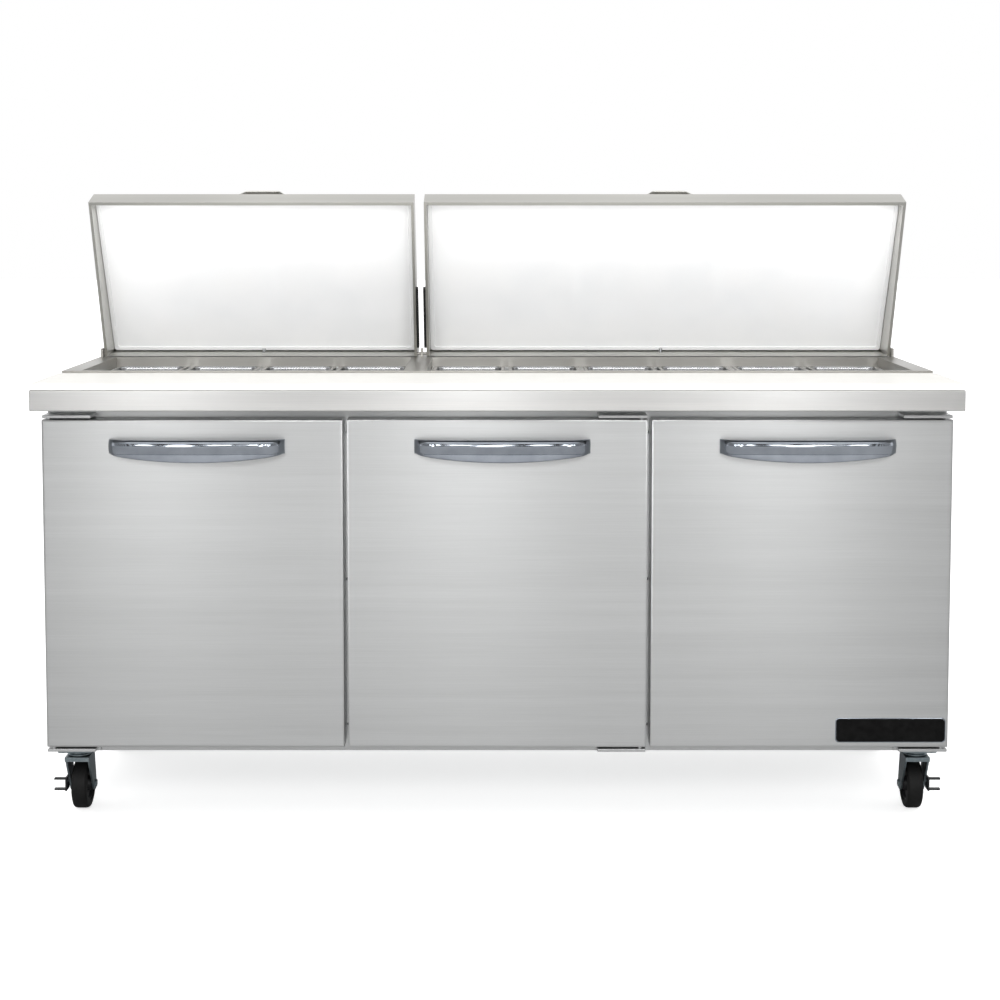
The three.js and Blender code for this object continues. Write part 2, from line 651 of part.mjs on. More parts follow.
function addLoosePieces() {
  const boardZ = [BOARD_TOP - BOARD_THICK, BOARD_TOP];
  place(table, 'cutting_board', slab([-WIDTH / 2, WIDTH / 2], [0, BOARD_DEPTH], boardZ), BOARD_WHITE);
  for (const [name, column] of [['left', -1], ['middle', 0], ['right', 1]]) {
    place(table, `shelf_${name}`, shelf(), CHROME).position.x = column * DOOR_PITCH;
  }
}

function addCasters() {
  for (const end of ['front', 'rear']) {
    for (const [name, side] of [['left', -1], ['right', 1]]) {
      const caster = new THREE.Group();
      caster.position.set(side * CASTER_X, yAt(CASTER_D[end]), 0);
      const brake = end === 'front' ? side : 0;
      place(caster, `caster_plate_${end}_${name}`, casterPlate(), ZINC);
      place(caster, `caster_fork_${end}_${name}`, casterFork(brake), ZINC);
      place(caster, `caster_wheel_${end}_${name}`, casterWheel(), RUBBER).position.set(0, TRAIL, WHEEL.r);
      if (brake) place(caster, `brake_pedal_${name}`, brakePedal(side), ZINC)
        .position.set(0, BRAKE_PIVOT.y, BRAKE_PIVOT.z);
      table.add(caster);
    }
  }
}

addCabinet();
addRefrigeration();
addDoors();
addLids();
addPans();
addLoosePieces();
addCasters();

export default table;
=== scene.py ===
"""Sandwich prep table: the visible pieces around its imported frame, laid out as a Blender add-on."""
import json
import math

import bmesh
import bpy
from bpy.props import FloatProperty, FloatVectorProperty, IntProperty, PointerProperty
from mathutils import Matrix, Vector


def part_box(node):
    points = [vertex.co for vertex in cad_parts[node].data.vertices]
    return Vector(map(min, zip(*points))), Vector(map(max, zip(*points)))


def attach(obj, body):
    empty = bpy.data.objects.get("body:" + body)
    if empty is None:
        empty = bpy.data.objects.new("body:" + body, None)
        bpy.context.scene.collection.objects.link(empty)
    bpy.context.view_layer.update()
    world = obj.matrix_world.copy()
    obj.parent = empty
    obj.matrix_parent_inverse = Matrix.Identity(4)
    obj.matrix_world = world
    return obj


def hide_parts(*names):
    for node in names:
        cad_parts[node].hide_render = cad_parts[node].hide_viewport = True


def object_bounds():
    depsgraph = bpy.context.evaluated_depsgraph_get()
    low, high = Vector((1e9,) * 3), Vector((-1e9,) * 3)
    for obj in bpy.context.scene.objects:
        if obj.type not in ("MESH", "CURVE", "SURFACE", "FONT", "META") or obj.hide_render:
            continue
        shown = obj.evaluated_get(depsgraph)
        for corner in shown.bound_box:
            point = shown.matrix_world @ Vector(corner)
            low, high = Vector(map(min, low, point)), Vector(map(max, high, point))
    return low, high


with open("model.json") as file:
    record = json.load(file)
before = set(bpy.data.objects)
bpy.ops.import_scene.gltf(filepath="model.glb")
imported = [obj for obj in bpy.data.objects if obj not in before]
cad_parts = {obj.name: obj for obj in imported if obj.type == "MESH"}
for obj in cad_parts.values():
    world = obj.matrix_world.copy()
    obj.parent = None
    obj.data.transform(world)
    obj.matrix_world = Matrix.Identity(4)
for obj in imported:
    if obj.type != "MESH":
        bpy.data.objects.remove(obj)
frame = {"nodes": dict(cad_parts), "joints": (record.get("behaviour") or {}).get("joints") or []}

bl_info = {
    "name": "Sandwich prep table",
    "version": (1, 0, 0),
    "blender": (4, 5, 0),
    "location": "View3D > Sidebar > Prep table",
    "description": "Builds a refrigerated sandwich prep table: cabinet, doors, lids, pans and casters",
    "category": "Object",
}

CAD_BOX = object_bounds()
MM = 0.001
SIDES = ("left", "middle", "right")
LID_SIDES = ("left", "right")
CORNERS = [(end, side) for end in ("front", "rear") for side in ("left", "right")]
JOINTS = {joint["name"]: joint for joint in frame["joints"]}
NODES = frame["nodes"]


# ---------- settings ----------


class PrepTableSizes(bpy.types.PropertyGroup):
    """Sizes of the visible detail, in metres."""

    sheet_edge: FloatProperty(name="Sheet edge", description="Radius of a folded steel edge",
                              default=1.6 * MM, unit="LENGTH")
    board_edge: FloatProperty(name="Board edge", description="Radius of the cutting board's edges",
                              default=2.5 * MM, unit="LENGTH")
    pan_corner: FloatProperty(name="Pan corner", description="Upright corner radius of a food pan",
                              default=18 * MM, unit="LENGTH")
    pan_wall: FloatProperty(name="Pan wall", description="Sheet thickness of a food pan",
                            default=1.0 * MM, unit="LENGTH")
    shelf_wire: FloatProperty(name="Shelf wire", description="Radius of one wire of a shelf",
                              default=1.7 * MM, unit="LENGTH")
    shelf_pitch: FloatProperty(name="Wire pitch", description="Distance between two wires of a shelf",
                               default=22 * MM, unit="LENGTH")
    screw_head: FloatProperty(name="Screw head", description="Radius of a screw's head",
                              default=4.2 * MM, unit="LENGTH")
    louvre_count: IntProperty(name="Louvres", description="Louvres in one column of the rear cover",
                              default=11)


class PrepTableColours(bpy.types.PropertyGroup):
    """Colours of the painted and moulded pieces."""

    board: FloatVectorProperty(name="Cutting board", description="Colour of the cutting board",
                               subtype="COLOR", default=(0.72, 0.71, 0.68))
    liner: FloatVectorProperty(name="Lid liner", description="Colour of the lids' inner skin",
                               subtype="COLOR", default=(0.985, 0.99, 0.995))
    plate: FloatVectorProperty(name="Name plate", description="Colour of the blank plate on the right door",
                               subtype="COLOR", default=(0.003, 0.003, 0.003))


def sizes():
    return bpy.context.scene.prep_table_sizes


def colours():
    return bpy.context.scene.prep_table_colours


# ---------- materials ----------


def linear(hex_value):
    """An sRGB colour written as 0xRRGGBB, as linear red, green, blue and alpha."""
    channels = [((hex_value >> shift) & 255) / 255 for shift in (16, 8, 0)]
    return (*[c / 12.92 if c <= 0.04045 else ((c + 0.055) / 1.055) ** 2.4 for c in channels], 1.0)


def add(tree, kind, inputs=None, **settings):
    """Adds a node: settings are its properties, and inputs maps its sockets to values or other sockets."""
    made = tree.nodes.new(kind)
    for name, value in settings.items():
        setattr(made, name, value)
    for key, value in (inputs or {}).items():
        if isinstance(value, bpy.types.NodeSocket):
            tree.links.new(value, made.inputs[key])
        else:
            made.inputs[key].default_value = value
    return made


def ramp(tree, factor, low, high, start=0.3, end=0.7):
    """A colour ramp between two colours over part of a factor."""
    made = add(tree, "ShaderNodeValToRGB", {"Fac": factor})
    made.color_ramp.elements[0].position = start
    made.color_ramp.elements[0].color = low
    made.color_ramp.elements[1].position = end
    made.color_ramp.elements[1].color = high
    return made.outputs["Color"]


def pattern(tree, spacing, detail=3.0, kind="ShaderNodeTexNoise"):
    """A noise whose cells measure spacing (x, y, z) metres on the piece."""
    place = add(tree, "ShaderNodeTexCoord").outputs["Object"]
    scaled = add(tree, "ShaderNodeMapping", {"Vector": place, "Scale": [1 / s for s in spacing]})
    settings = {"Vector": scaled.outputs["Vector"], "Scale": 1.0}
    if kind == "ShaderNodeTexNoise":
        settings["Detail"] = detail
    return add(tree, kind, settings)


def new_material(name, **constants):
    """A material with one principled shader, and its constants set on the shader itself."""
    material = bpy.data.materials.new(name)
    material.use_nodes = True
    shader = material.node_tree.nodes["Principled BSDF"]
    for key, value in constants.items():
        shader.inputs[key.replace("_", " ")].default_value = value
    return material, material.node_tree, shader


def mapped(tree, factor, low, high):
    """A 0 to 1 factor mapped to a low and a high value."""
    return add(tree, "ShaderNodeMapRange", {"Value": factor, "To Min": low, "To Max": high}).outputs["Result"]


def dressed(name, tints, roughness, spacing, bump=0.1, relief=0.2 * MM, detail=3.0, **constants):
    """A surface with one pattern that tints it, varies its roughness and raises its grain."""
    material, tree, shader = new_material(name, **constants)
    noise = pattern(tree, spacing, detail).outputs["Fac"]
    wide = pattern(tree, [14 * s for s in spacing], 2.0).outputs["Fac"]
    mixed = add(tree, "ShaderNodeMath", {0: noise, 1: wide}, operation="ADD")
    half = add(tree, "ShaderNodeMath", {0: mixed.outputs[0], 1: 0.5}, operation="MULTIPLY")
    colour = ramp(tree, half.outputs[0], linear(tints[0]), linear(tints[1]))
    tree.links.new(colour, shader.inputs["Base Color"])
    tree.links.new(mapped(tree, half.outputs[0], *roughness), shader.inputs["Roughness"])
    raised = add(tree, "ShaderNodeBump", {"Height": noise, "Strength": bump, "Distance": relief})
    tree.links.new(raised.outputs["Normal"], shader.inputs["Normal"])
    return material


def brushed_stainless(name, along, tints=(0xBABBBB, 0xC5C6C6)):
    """Type 304 stainless sheet, belt-brushed to a number 4 finish along one axis.

    The belt leaves lines about 0.2 mm apart, drawn here at 1.6 mm so that they show; across them the light
    spreads into soft upright bands.
    """
    spacing = [1.6 * MM, 1.6 * MM, 1.6 * MM]
    spacing["xyz".index(along)] = 160 * MM
    return dressed(name, tints, (0.27, 0.37), spacing, bump=0.1, relief=0.1 * MM, detail=4.0,
                   Metallic=1.0, Anisotropic=0.75, Anisotropic_Rotation=0.25)


def make_materials():
    """Every finish on the table, by a short key."""
    spot = 30 * MM
    return {
        "steel_x": brushed_stainless("stainless_brushed_lengthwise", "x"),
        "steel_y": brushed_stainless("stainless_brushed_front_to_back", "y"),
        # The well's deck is tinted greyer than the outside steel: painted shade for the inside of the well.
        "steel_well_painted_shade": brushed_stainless("stainless_brushed_well_painted_shade", "x", (0x989691, 0xA7A5A0)),
        # The lids' sheet is a slightly warmer grey than the cabinet's.
        "steel_lid": brushed_stainless("stainless_brushed_lid", "x", (0xB9B8B3, 0xC6C5C0)),
        # The worktop's steel is tinted lighter than the cabinet's: painted light, so the worktop and its apron
        # look brighter.
        "steel_top_painted_light": brushed_stainless("stainless_brushed_worktop_painted_light", "x", (0xBFBFBE, 0xCBCAC8)),
        # Deep-drawn stainless: bright and soft, with faint draw marks.
        "pan": dressed("stainless_deep_drawn", (0x9FA1A2, 0xBDBEBF), (0.18, 0.3), [2 * MM, 2 * MM, 25 * MM],
                       bump=0.05, Metallic=1.0),
        # Nickel and chrome plate on a zinc casting: mirror bright, with a faint haze from wiping.
        "chrome": dressed("chrome_plated_casting", (0x90969F, 0xACB2BA), (0.04, 0.09), [spot] * 3, bump=0.02,
                          Metallic=1.0),
        "wire": dressed("chrome_plated_wire", (0xC9CCCF, 0xDCDEE0), (0.12, 0.22), [4 * MM] * 3, bump=0.03,
                        Metallic=1.0),
        # Bright zinc plate with a pale blue chromate that varies from place to place.
        "zinc": dressed("zinc_plated_steel", (0x6F7A80, 0x9BA5A8), (0.26, 0.42), [6 * MM] * 3, bump=0.08,
                        Metallic=1.0),
        "bolt": dressed("stainless_turned", (0xB0B2B4, 0xCFD1D2), (0.2, 0.34), [1.5 * MM] * 3, bump=0.05,
                        Metallic=1.0),
        "galvanised": galvanised(),
        # Embossed aluminium liner sheet: pale, dull, with a very fine stucco.
        "inner": dressed("stucco_aluminium", (0xB4B7B9, 0xC4C6C8), (0.42, 0.52), [2.5 * MM] * 3, bump=0.12,
                         Metallic=1.0),
        "board": board_plastic(),
        "liner": liner_plastic(),
        # Extruded flexible PVC: grey, dull, with a fine bloom.
        "gasket": dressed("pvc_gasket", (0x6E7174, 0x84878A), (0.55, 0.72), [3 * MM] * 3, bump=0.1),
        # Moulded thermoplastic rubber, scuffed and dusty on the tread.
        "tyre": dressed("rubber_tread", (0x050505, 0x121212), (0.5, 0.7), [5 * MM] * 3, bump=0.2,
                        Specular_IOR_Level=0.25),
        "hub": dressed("nylon_hub", (0x08080A, 0x141416), (0.4, 0.55), [4 * MM] * 3, bump=0.08,
                       Specular_IOR_Level=0.3),
        # A near-black tint with a slight random variation, for the dark strip on the lids' facing skirts.
        "strap": dressed("dark_skirt_strip", (0x0B0B0C, 0x171718), (0.45, 0.6), [3 * MM] * 3, bump=0.1),
        "black": dressed("black_enamel", (0x0E0F10, 0x1C1D1F), (0.3, 0.46), [4 * MM] * 3, bump=0.12),
        "fins": dressed("mill_aluminium_fin", (0xAEB2B5, 0xC9CCCE), (0.3, 0.45), [3 * MM] * 3, bump=0.06,
                        Metallic=1.0),
        "copper": dressed("copper_tube", (0xA85B36, 0xC77A50), (0.25, 0.42), [6 * MM] * 3, bump=0.05,
                          Metallic=1.0),
        "plate": name_plate_paint(),
        "floor": studio_floor(),
    }


def galvanised():
    """Hot-dip galvanised sheet: a matt grey spangle of crystals about 9 mm across."""
    material, tree, shader = new_material("galvanised_sheet", Metallic=1.0)
    cells = pattern(tree, [9 * MM] * 3, kind="ShaderNodeTexVoronoi").outputs["Color"]
    value = add(tree, "ShaderNodeRGBToBW", {"Color": cells}).outputs["Val"]
    tint = ramp(tree, value, linear(0x9EA3A5), linear(0xAEB2B3), 0.1, 0.9)
    tree.links.new(tint, shader.inputs["Base Color"])
    tree.links.new(mapped(tree, value, 0.4, 0.5), shader.inputs["Roughness"])
    return material


def tinted(colour, gain):
    """A user's colour, lighter or darker by a gain."""
    return (*[min(1.0, channel * gain) for channel in colour], 1.0)


def board_plastic():
    """High-density polyethylene, sawn and planed: milky white, satin, with fine knife marks."""
    material, tree, shader = new_material("polyethylene_board", IOR=1.54)
    cloud = pattern(tree, [60 * MM] * 3, 4.0).outputs["Fac"]
    base = colours().board
    tree.links.new(ramp(tree, cloud, tinted(base, 0.985), tinted(base, 1.02)), shader.inputs["Base Color"])
    marks = pattern(tree, [2 * MM, 45 * MM, 45 * MM], 2.0).outputs["Fac"]
    tree.links.new(mapped(tree, marks, 0.36, 0.52), shader.inputs["Roughness"])
    raised = add(tree, "ShaderNodeBump", {"Height": marks, "Strength": 0.06, "Distance": 0.15 * MM})
    tree.links.new(raised.outputs["Normal"], shader.inputs["Normal"])
    return material


def liner_plastic():
    """Vacuum-formed glossy white ABS, with the slight waviness of a formed sheet."""
    material, tree, shader = new_material("formed_white_abs", IOR=1.52)
    wave = pattern(tree, [90 * MM] * 3, 1.0).outputs["Fac"]
    base = colours().liner
    tree.links.new(ramp(tree, wave, tinted(base, 0.98), tinted(base, 1.02)), shader.inputs["Base Color"])
    tree.links.new(mapped(tree, wave, 0.05, 0.09), shader.inputs["Roughness"])
    raised = add(tree, "ShaderNodeBump", {"Height": wave, "Strength": 0.05, "Distance": 0.5 * MM})
    tree.links.new(raised.outputs["Normal"], shader.inputs["Normal"])
    return material


FLOOR_GLOW = 0.6


def studio_floor():
    """Matt white studio floor; to glossy surfaces it is the darker floor of the room around it."""
    material, tree, shader = new_material("matt_floor_paint", Roughness=0.8)
    glossy = add(tree, "ShaderNodeLightPath").outputs["Is Glossy Ray"]
    grey = ramp(tree, glossy, linear(0xF6F6F6), linear(0xB0B0B0), 0.0, 1.0)
    tree.links.new(grey, shader.inputs["Base Color"])
    shader.inputs["Emission Color"].default_value = (1.0, 1.0, 1.0, 1.0)
    tree.links.new(mapped(tree, glossy, FLOOR_GLOW, 0.0), shader.inputs["Emission Strength"])
    return material


def name_plate_paint():
    """Black lacquer on a small metal plate, rubbed down to a soft shine."""
    material, tree, shader = new_material("black_lacquer", IOR=1.5, Specular_IOR_Level=0.06)
    haze = pattern(tree, [12 * MM] * 3, 3.0).outputs["Fac"]
    base = colours().plate
    tree.links.new(ramp(tree, haze, tinted(base, 0.8), tinted(base, 1.6)), shader.inputs["Base Color"])
    tree.links.new(mapped(tree, haze, 0.16, 0.26), shader.inputs["Roughness"])
    return material


FINISH = {}


# ---------- mesh tools ----------


def piece(name, bm, finish, body, replaces=(), smooth=32):
    """Turns a bmesh into a finished piece that rides on a body. Returns its object."""
    mesh = bpy.data.meshes.new(name)
    bmesh.ops.remove_doubles(bm, verts=bm.verts, dist=1e-6)
    bmesh.ops.recalc_face_normals(bm, faces=bm.faces)
    bm.to_mesh(mesh)
    bm.free()
    return place_mesh(name, mesh, finish, body, replaces, smooth)


def place_mesh(name, mesh, finish, body, replaces=(), smooth=32):
    """Shades a mesh smooth below an angle, gives it its finish and lets it ride on a body."""
    mesh.shade_smooth()
    mesh.set_sharp_from_angle(angle=math.radians(smooth))
    mesh.materials.clear()
    mesh.materials.append(FINISH[finish])
    obj = bpy.data.objects.new(name, mesh)
    bpy.context.scene.collection.objects.link(obj)
    flat = obj.modifiers.new("flat faces stay flat", "WEIGHTED_NORMAL")
    flat.keep_sharp = True
    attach(obj, body)
    if replaces:
        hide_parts(*replaces)
    return obj


def bevel_sharp(bm, radius, angle=30, segments=2):
    """Rounds every edge that turns by more than an angle."""
    limit = math.radians(angle)
    sharp = [e for e in bm.edges if len(e.link_faces) == 2 and e.calc_face_angle(0.0) > limit]
    bmesh.ops.bevel(bm, geom=sharp, offset=radius, segments=segments, profile=0.5, affect="EDGES",
                    clamp_overlap=True)


def copy_of(node):
    """A merged copy of a CAD node's mesh, with its flat faces joined up."""
    bm = bmesh.new()
    bm.from_mesh(NODES[node].data)
    bmesh.ops.remove_doubles(bm, verts=bm.verts, dist=1e-5)
    bmesh.ops.dissolve_limit(bm, angle_limit=math.radians(0.5), verts=bm.verts, edges=bm.edges)
    return bm


def folded(node, name, finish, body, radius=None, angle=30):
    """A CAD node made again with soft edges."""
    bm = copy_of(node)
    bevel_sharp(bm, radius or sizes().sheet_edge, angle)
    return piece(name, bm, finish, body, [node])


def add_box(bm, low, high, radius):
    """Adds a box between two corners, with rounded edges."""
    part = bmesh.new()
    bmesh.ops.create_cube(part, size=1.0)
    low, high = Vector(low), Vector(high)
    for vert in part.verts:
        vert.co = Vector(low[i] + (vert.co[i] + 0.5) * (high[i] - low[i]) for i in range(3))
    bevel_sharp(part, radius)
    mesh = bpy.data.meshes.new("part")
    part.to_mesh(mesh)
    part.free()
    bm.from_mesh(mesh)
    bpy.data.meshes.remove(mesh)


def loft(bm, rings, round_trip=False):
    """Skins rings of the same number of points, and closes both ends unless it goes round to the first."""
    rows = [[bm.verts.new(point) for point in ring] for ring in rings]
    pairs = list(zip(rows, rows[1:]))
    if round_trip:
        pairs.append((rows[-1], rows[0]))
    for lower, upper in pairs:
        for i, vert in enumerate(lower):
            j = (i + 1) % len(lower)
            bm.faces.new((vert, lower[j], upper[j], upper[i]))
    if not round_trip:
        bm.faces.new(list(reversed(rows[0])))
        bm.faces.new(rows[-1])


def round_rectangle(half_x, half_y, radius, steps=6):
    """The points of a rectangle with round corners, anticlockwise."""
    points = []
    for quarter, (sx, sy) in enumerate([(1, 1), (-1, 1), (-1, -1), (1, -1)]):
        for step in range(steps + 1):
            turn = math.pi / 2 * (quarter + step / steps)
            points.append((sx * (half_x - radius) + radius * math.cos(turn),
                           sy * (half_y - radius) + radius * math.sin(turn)))
    return points


def lathe(bm, outline, centre, axis="x", steps=48):
    """Turns a closed (along, radius) outline about an axis through a centre."""
    frame_of = {
        "x": lambda a, r, c, s: (a, r * c, r * s),
        "y": lambda a, r, c, s: (r * c, a, r * s),
        "z": lambda a, r, c, s: (r * c, r * s, a),
    }[axis]
    rings = []
    for step in range(steps):
        turn = 2 * math.pi * step / steps
        ring = [Vector(frame_of(along, radius, math.cos(turn), math.sin(turn))) for along, radius in outline]
        rings.append([Vector(centre) + point for point in ring])
    loft(bm, rings, round_trip=True)


def both_sides(outline):
    """An outline of (along, radius) points and its mirror image, in one round."""
    return outline + [(-along, radius) for along, radius in reversed(outline)]


def turned(bm, outline, foot, steps=20):
    """A closed round piece that stands on a foot: its outline is (height, radius) in millimetres."""
    turns = [2 * math.pi * step / steps for step in range(steps)]
    loft(bm, [[foot + Vector((r * math.cos(a), r * math.sin(a), height)) * MM for a in turns]
              for height, r in outline])


def centre_of(node):
    low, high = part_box(node)
    return (low + high) / 2


# ---------- Geometry Nodes ----------


def node_group(name, inputs):
    """A Geometry Nodes tree with named inputs. Returns the tree and its input node's sockets."""
    tree = bpy.data.node_groups.new(name, "GeometryNodeTree")
    tree.interface.new_socket("Geometry", in_out="INPUT", socket_type="NodeSocketGeometry")
    for label, kind in inputs.items():
        tree.interface.new_socket(label, in_out="INPUT", socket_type=f"NodeSocket{kind}")
    tree.interface.new_socket("Geometry", in_out="OUTPUT", socket_type="NodeSocketGeometry")
    return tree, tree.nodes.new("NodeGroupInput").outputs


def end_tree(tree, geometry, material):
    """Realizes the instances, sets the material and sends the result out."""
    real = add(tree, "GeometryNodeRealizeInstances", {"Geometry": geometry})
    covered = add(tree, "GeometryNodeSetMaterial", {"Geometry": real.outputs[0], "Material": material})
    add(tree, "NodeGroupOutput", {0: covered.outputs[0]})
    return tree


def screw_tree():
    """Cross-recess pan heads on the points of a mesh."""
    tree, given = node_group("screw_heads", {"Radius": "Float", "Rise": "Float", "Turn": "Vector",
                                             "Material": "Material"})
    ball = add(tree, "GeometryNodeMeshUVSphere", {"Segments": 20, "Rings": 10, "Radius": given["Radius"]})
    scale = add(tree, "ShaderNodeCombineXYZ", {"X": 1.0, "Y": 1.0, "Z": given["Rise"]})
    head = add(tree, "GeometryNodeTransform", {"Geometry": ball.outputs["Mesh"], "Scale": scale.outputs[0]})
    slots = []
    for size in ((1.1, 0.2), (0.2, 1.1)):
        reach = [add(tree, "ShaderNodeMath", {0: given["Radius"], 1: part}, operation="MULTIPLY").outputs[0]
                 for part in size]
        shape = add(tree, "ShaderNodeCombineXYZ", {"X": reach[0], "Y": reach[1], "Z": given["Radius"]})
        cube = add(tree, "GeometryNodeMeshCube", {"Size": shape.outputs[0]})
        lift = add(tree, "ShaderNodeMath", {0: given["Radius"], 1: 0.75}, operation="MULTIPLY")
        up = add(tree, "ShaderNodeCombineXYZ", {"Z": lift.outputs[0]})
        raised = add(tree, "GeometryNodeTransform", {"Geometry": cube.outputs["Mesh"],
                                                     "Translation": up.outputs[0]})
        slots.append(raised.outputs[0])
    cross = head.outputs[0]
    for slot in slots:
        cross = add(tree, "GeometryNodeMeshBoolean", {"Mesh 1": cross, "Mesh 2": slot},
                    operation="DIFFERENCE").outputs["Mesh"]
    points = add(tree, "GeometryNodeInstanceOnPoints", {"Points": given["Geometry"], "Instance": cross,
                                                        "Rotation": given["Turn"]})
    return end_tree(tree, points.outputs[0], given["Material"])


ROW_INPUTS = {"Count": "Int", "First": "Vector", "Step": "Vector", "Turn": "Vector", "Material": "Material"}


def end_row(tree, given, block):
    """Turns and repeats a block along a line: the first at a place, each next one a step further."""
    line = add(tree, "GeometryNodeMeshLine", {"Count": given["Count"], "Start Location": given["First"],
                                              "Offset": given["Step"]}, mode="OFFSET")
    row = add(tree, "GeometryNodeInstanceOnPoints", {"Points": line.outputs[0], "Instance": block,
                                                     "Rotation": given["Turn"]})
    return end_tree(tree, row.outputs[0], given["Material"])


def rod_row_tree():
    """A row of round bars, for wires."""
    tree, given = node_group("rod_row", {**ROW_INPUTS, "Radius": "Float", "Length": "Float"})
    rod = add(tree, "GeometryNodeMeshCylinder", {"Vertices": 10, "Radius": given["Radius"],
                                                 "Depth": given["Length"]})
    return end_row(tree, given, rod.outputs["Mesh"])


def blade_row_tree():
    """A row of flat blades, for fins and louvres."""
    tree, given = node_group("blade_row", {**ROW_INPUTS, "Size": "Vector"})
    blade = add(tree, "GeometryNodeMeshCube", {"Size": given["Size"]})
    return end_row(tree, given, blade.outputs["Mesh"])


TREES = {}


def grown(kind, values, points=()):
    """Runs a tree with its inputs set, and returns the result as a plain mesh."""
    if not TREES:
        TREES.update(screws=screw_tree(), rods=rod_row_tree(), blades=blade_row_tree())
    tree = TREES[kind]
    seed = bpy.data.meshes.new("seed")
    seed.from_pydata([tuple(point) for point in points] or [(0, 0, 0)], [], [])
    obj = bpy.data.objects.new("seed", seed)
    bpy.context.scene.collection.objects.link(obj)
    modifier = obj.modifiers.new("grow", "NODES")
    modifier.node_group = tree
    for socket in tree.interface.items_tree:
        if socket.in_out == "INPUT" and socket.name in values:
            modifier[socket.identifier] = values[socket.name]
    evaluated = obj.evaluated_get(bpy.context.evaluated_depsgraph_get())
    mesh = bpy.data.meshes.new_from_object(evaluated)
    bpy.data.objects.remove(obj)
    return mesh


def joined(meshes):
    """Several plain meshes as one bmesh."""
    bm = bmesh.new()
    for mesh in meshes:
        bm.from_mesh(mesh)
        bpy.data.meshes.remove(mesh)
    return bm


def screws(name, points, facing, body, finish="bolt", radius=None, rise=0.42):
    """Screw heads on points, facing out along an axis: '-y', '+y' or '-z'."""
    turn = {"-y": (math.pi / 2, 0, 0), "+y": (-math.pi / 2, 0, 0), "-z": (math.pi, 0, 0)}[facing]
    mesh = grown("screws", {"Radius": radius or sizes().screw_head, "Rise": rise, "Turn": turn,
                            "Material": FINISH[finish]}, points)
    return place_mesh(name, mesh, finish, body)


def rods(count, first, step, radius, length, turn):
    """A row of chromed wires."""
    return grown("rods", {"Count": count, "First": first, "Step": step, "Radius": radius, "Length": length,
                          "Turn": turn, "Material": FINISH["wire"]})


def blades(count, first, step, size, turn, finish):
    """A row of flat blades."""
    return grown("blades", {"Count": count, "First": first, "Step": step, "Size": size, "Turn": turn,
                            "Material": FINISH[finish]})


# ---------- stage ----------

# The viewpoint: how far the eye stands in front of the board's front edge, how high, how far it looks
# down, its lens in millimetres on a 36 mm frame, and its shift as a share of the frame.
EYE_DISTANCE = 3.644
EYE_HEIGHT = 1.2445
EYE_TILT = math.radians(4.23)
EYE_LENS = 67.53
EYE_SHIFT = (0.0027, -0.15)

# Light that comes from the room: how bright it is at each height of direction (0 level, 1 straight up),
# how fast its windows follow each other across it, and how much of each turn is window.
ROOM = ((0.0, 0.85), (0.07, 0.85), (0.1, 0.06), (0.66, 0.06), (0.72, 0.9), (1.0, 0.9))
WINDOW_TURNS = 90.0
WINDOW_SHARE = (0.1, 0.35)
WINDOW_LEVEL = (0.85, 0.85, 0.85, 1.0)
WHITE = (1.0, 1.0, 1.0, 1.0)

# A row of tall window lights, high in front, and three strips in front of the doors.
WINDOW_LIGHTS = 9
WINDOW_PITCH = 0.52
STRIP_PLACES = (-1.47, -0.13, 1.2)


def make_camera(front_y):
    """The eye, in front of a plane at front_y."""
    data = bpy.data.cameras.new("eye")
    data.lens = EYE_LENS
    data.sensor_width = 36
    data.shift_x, data.shift_y = EYE_SHIFT
    camera = bpy.data.objects.new("eye", data)
    camera.location = (0, front_y - EYE_DISTANCE, EYE_HEIGHT)
    camera.rotation_euler = (math.pi / 2 - EYE_TILT, 0, 0)
    bpy.context.scene.collection.objects.link(camera)
    bpy.context.scene.camera = camera


def softbox(name, place, aim, width, height, power):
    """A rectangular light at a place, turned towards a point."""
    data = bpy.data.lights.new(name, "AREA")
    data.shape = "RECTANGLE"
    data.size, data.size_y, data.energy = width, height, power
    light = bpy.data.objects.new(name, data)
    light.location = place
    light.rotation_euler = (Vector(aim) - Vector(place)).to_track_quat("-Z", "Y").to_euler()
    bpy.context.scene.collection.objects.link(light)
    return light


def make_floor():
    """The studio floor, wide enough to pass for endless."""
    bm = bmesh.new()
    bmesh.ops.create_grid(bm, x_segments=2, y_segments=2, size=30)
    mesh = bpy.data.meshes.new("floor")
    bm.to_mesh(mesh)
    bm.free()
    mesh.materials.append(FINISH["floor"])
    floor = bpy.data.objects.new("floor", mesh)
    bpy.context.scene.collection.objects.link(floor)


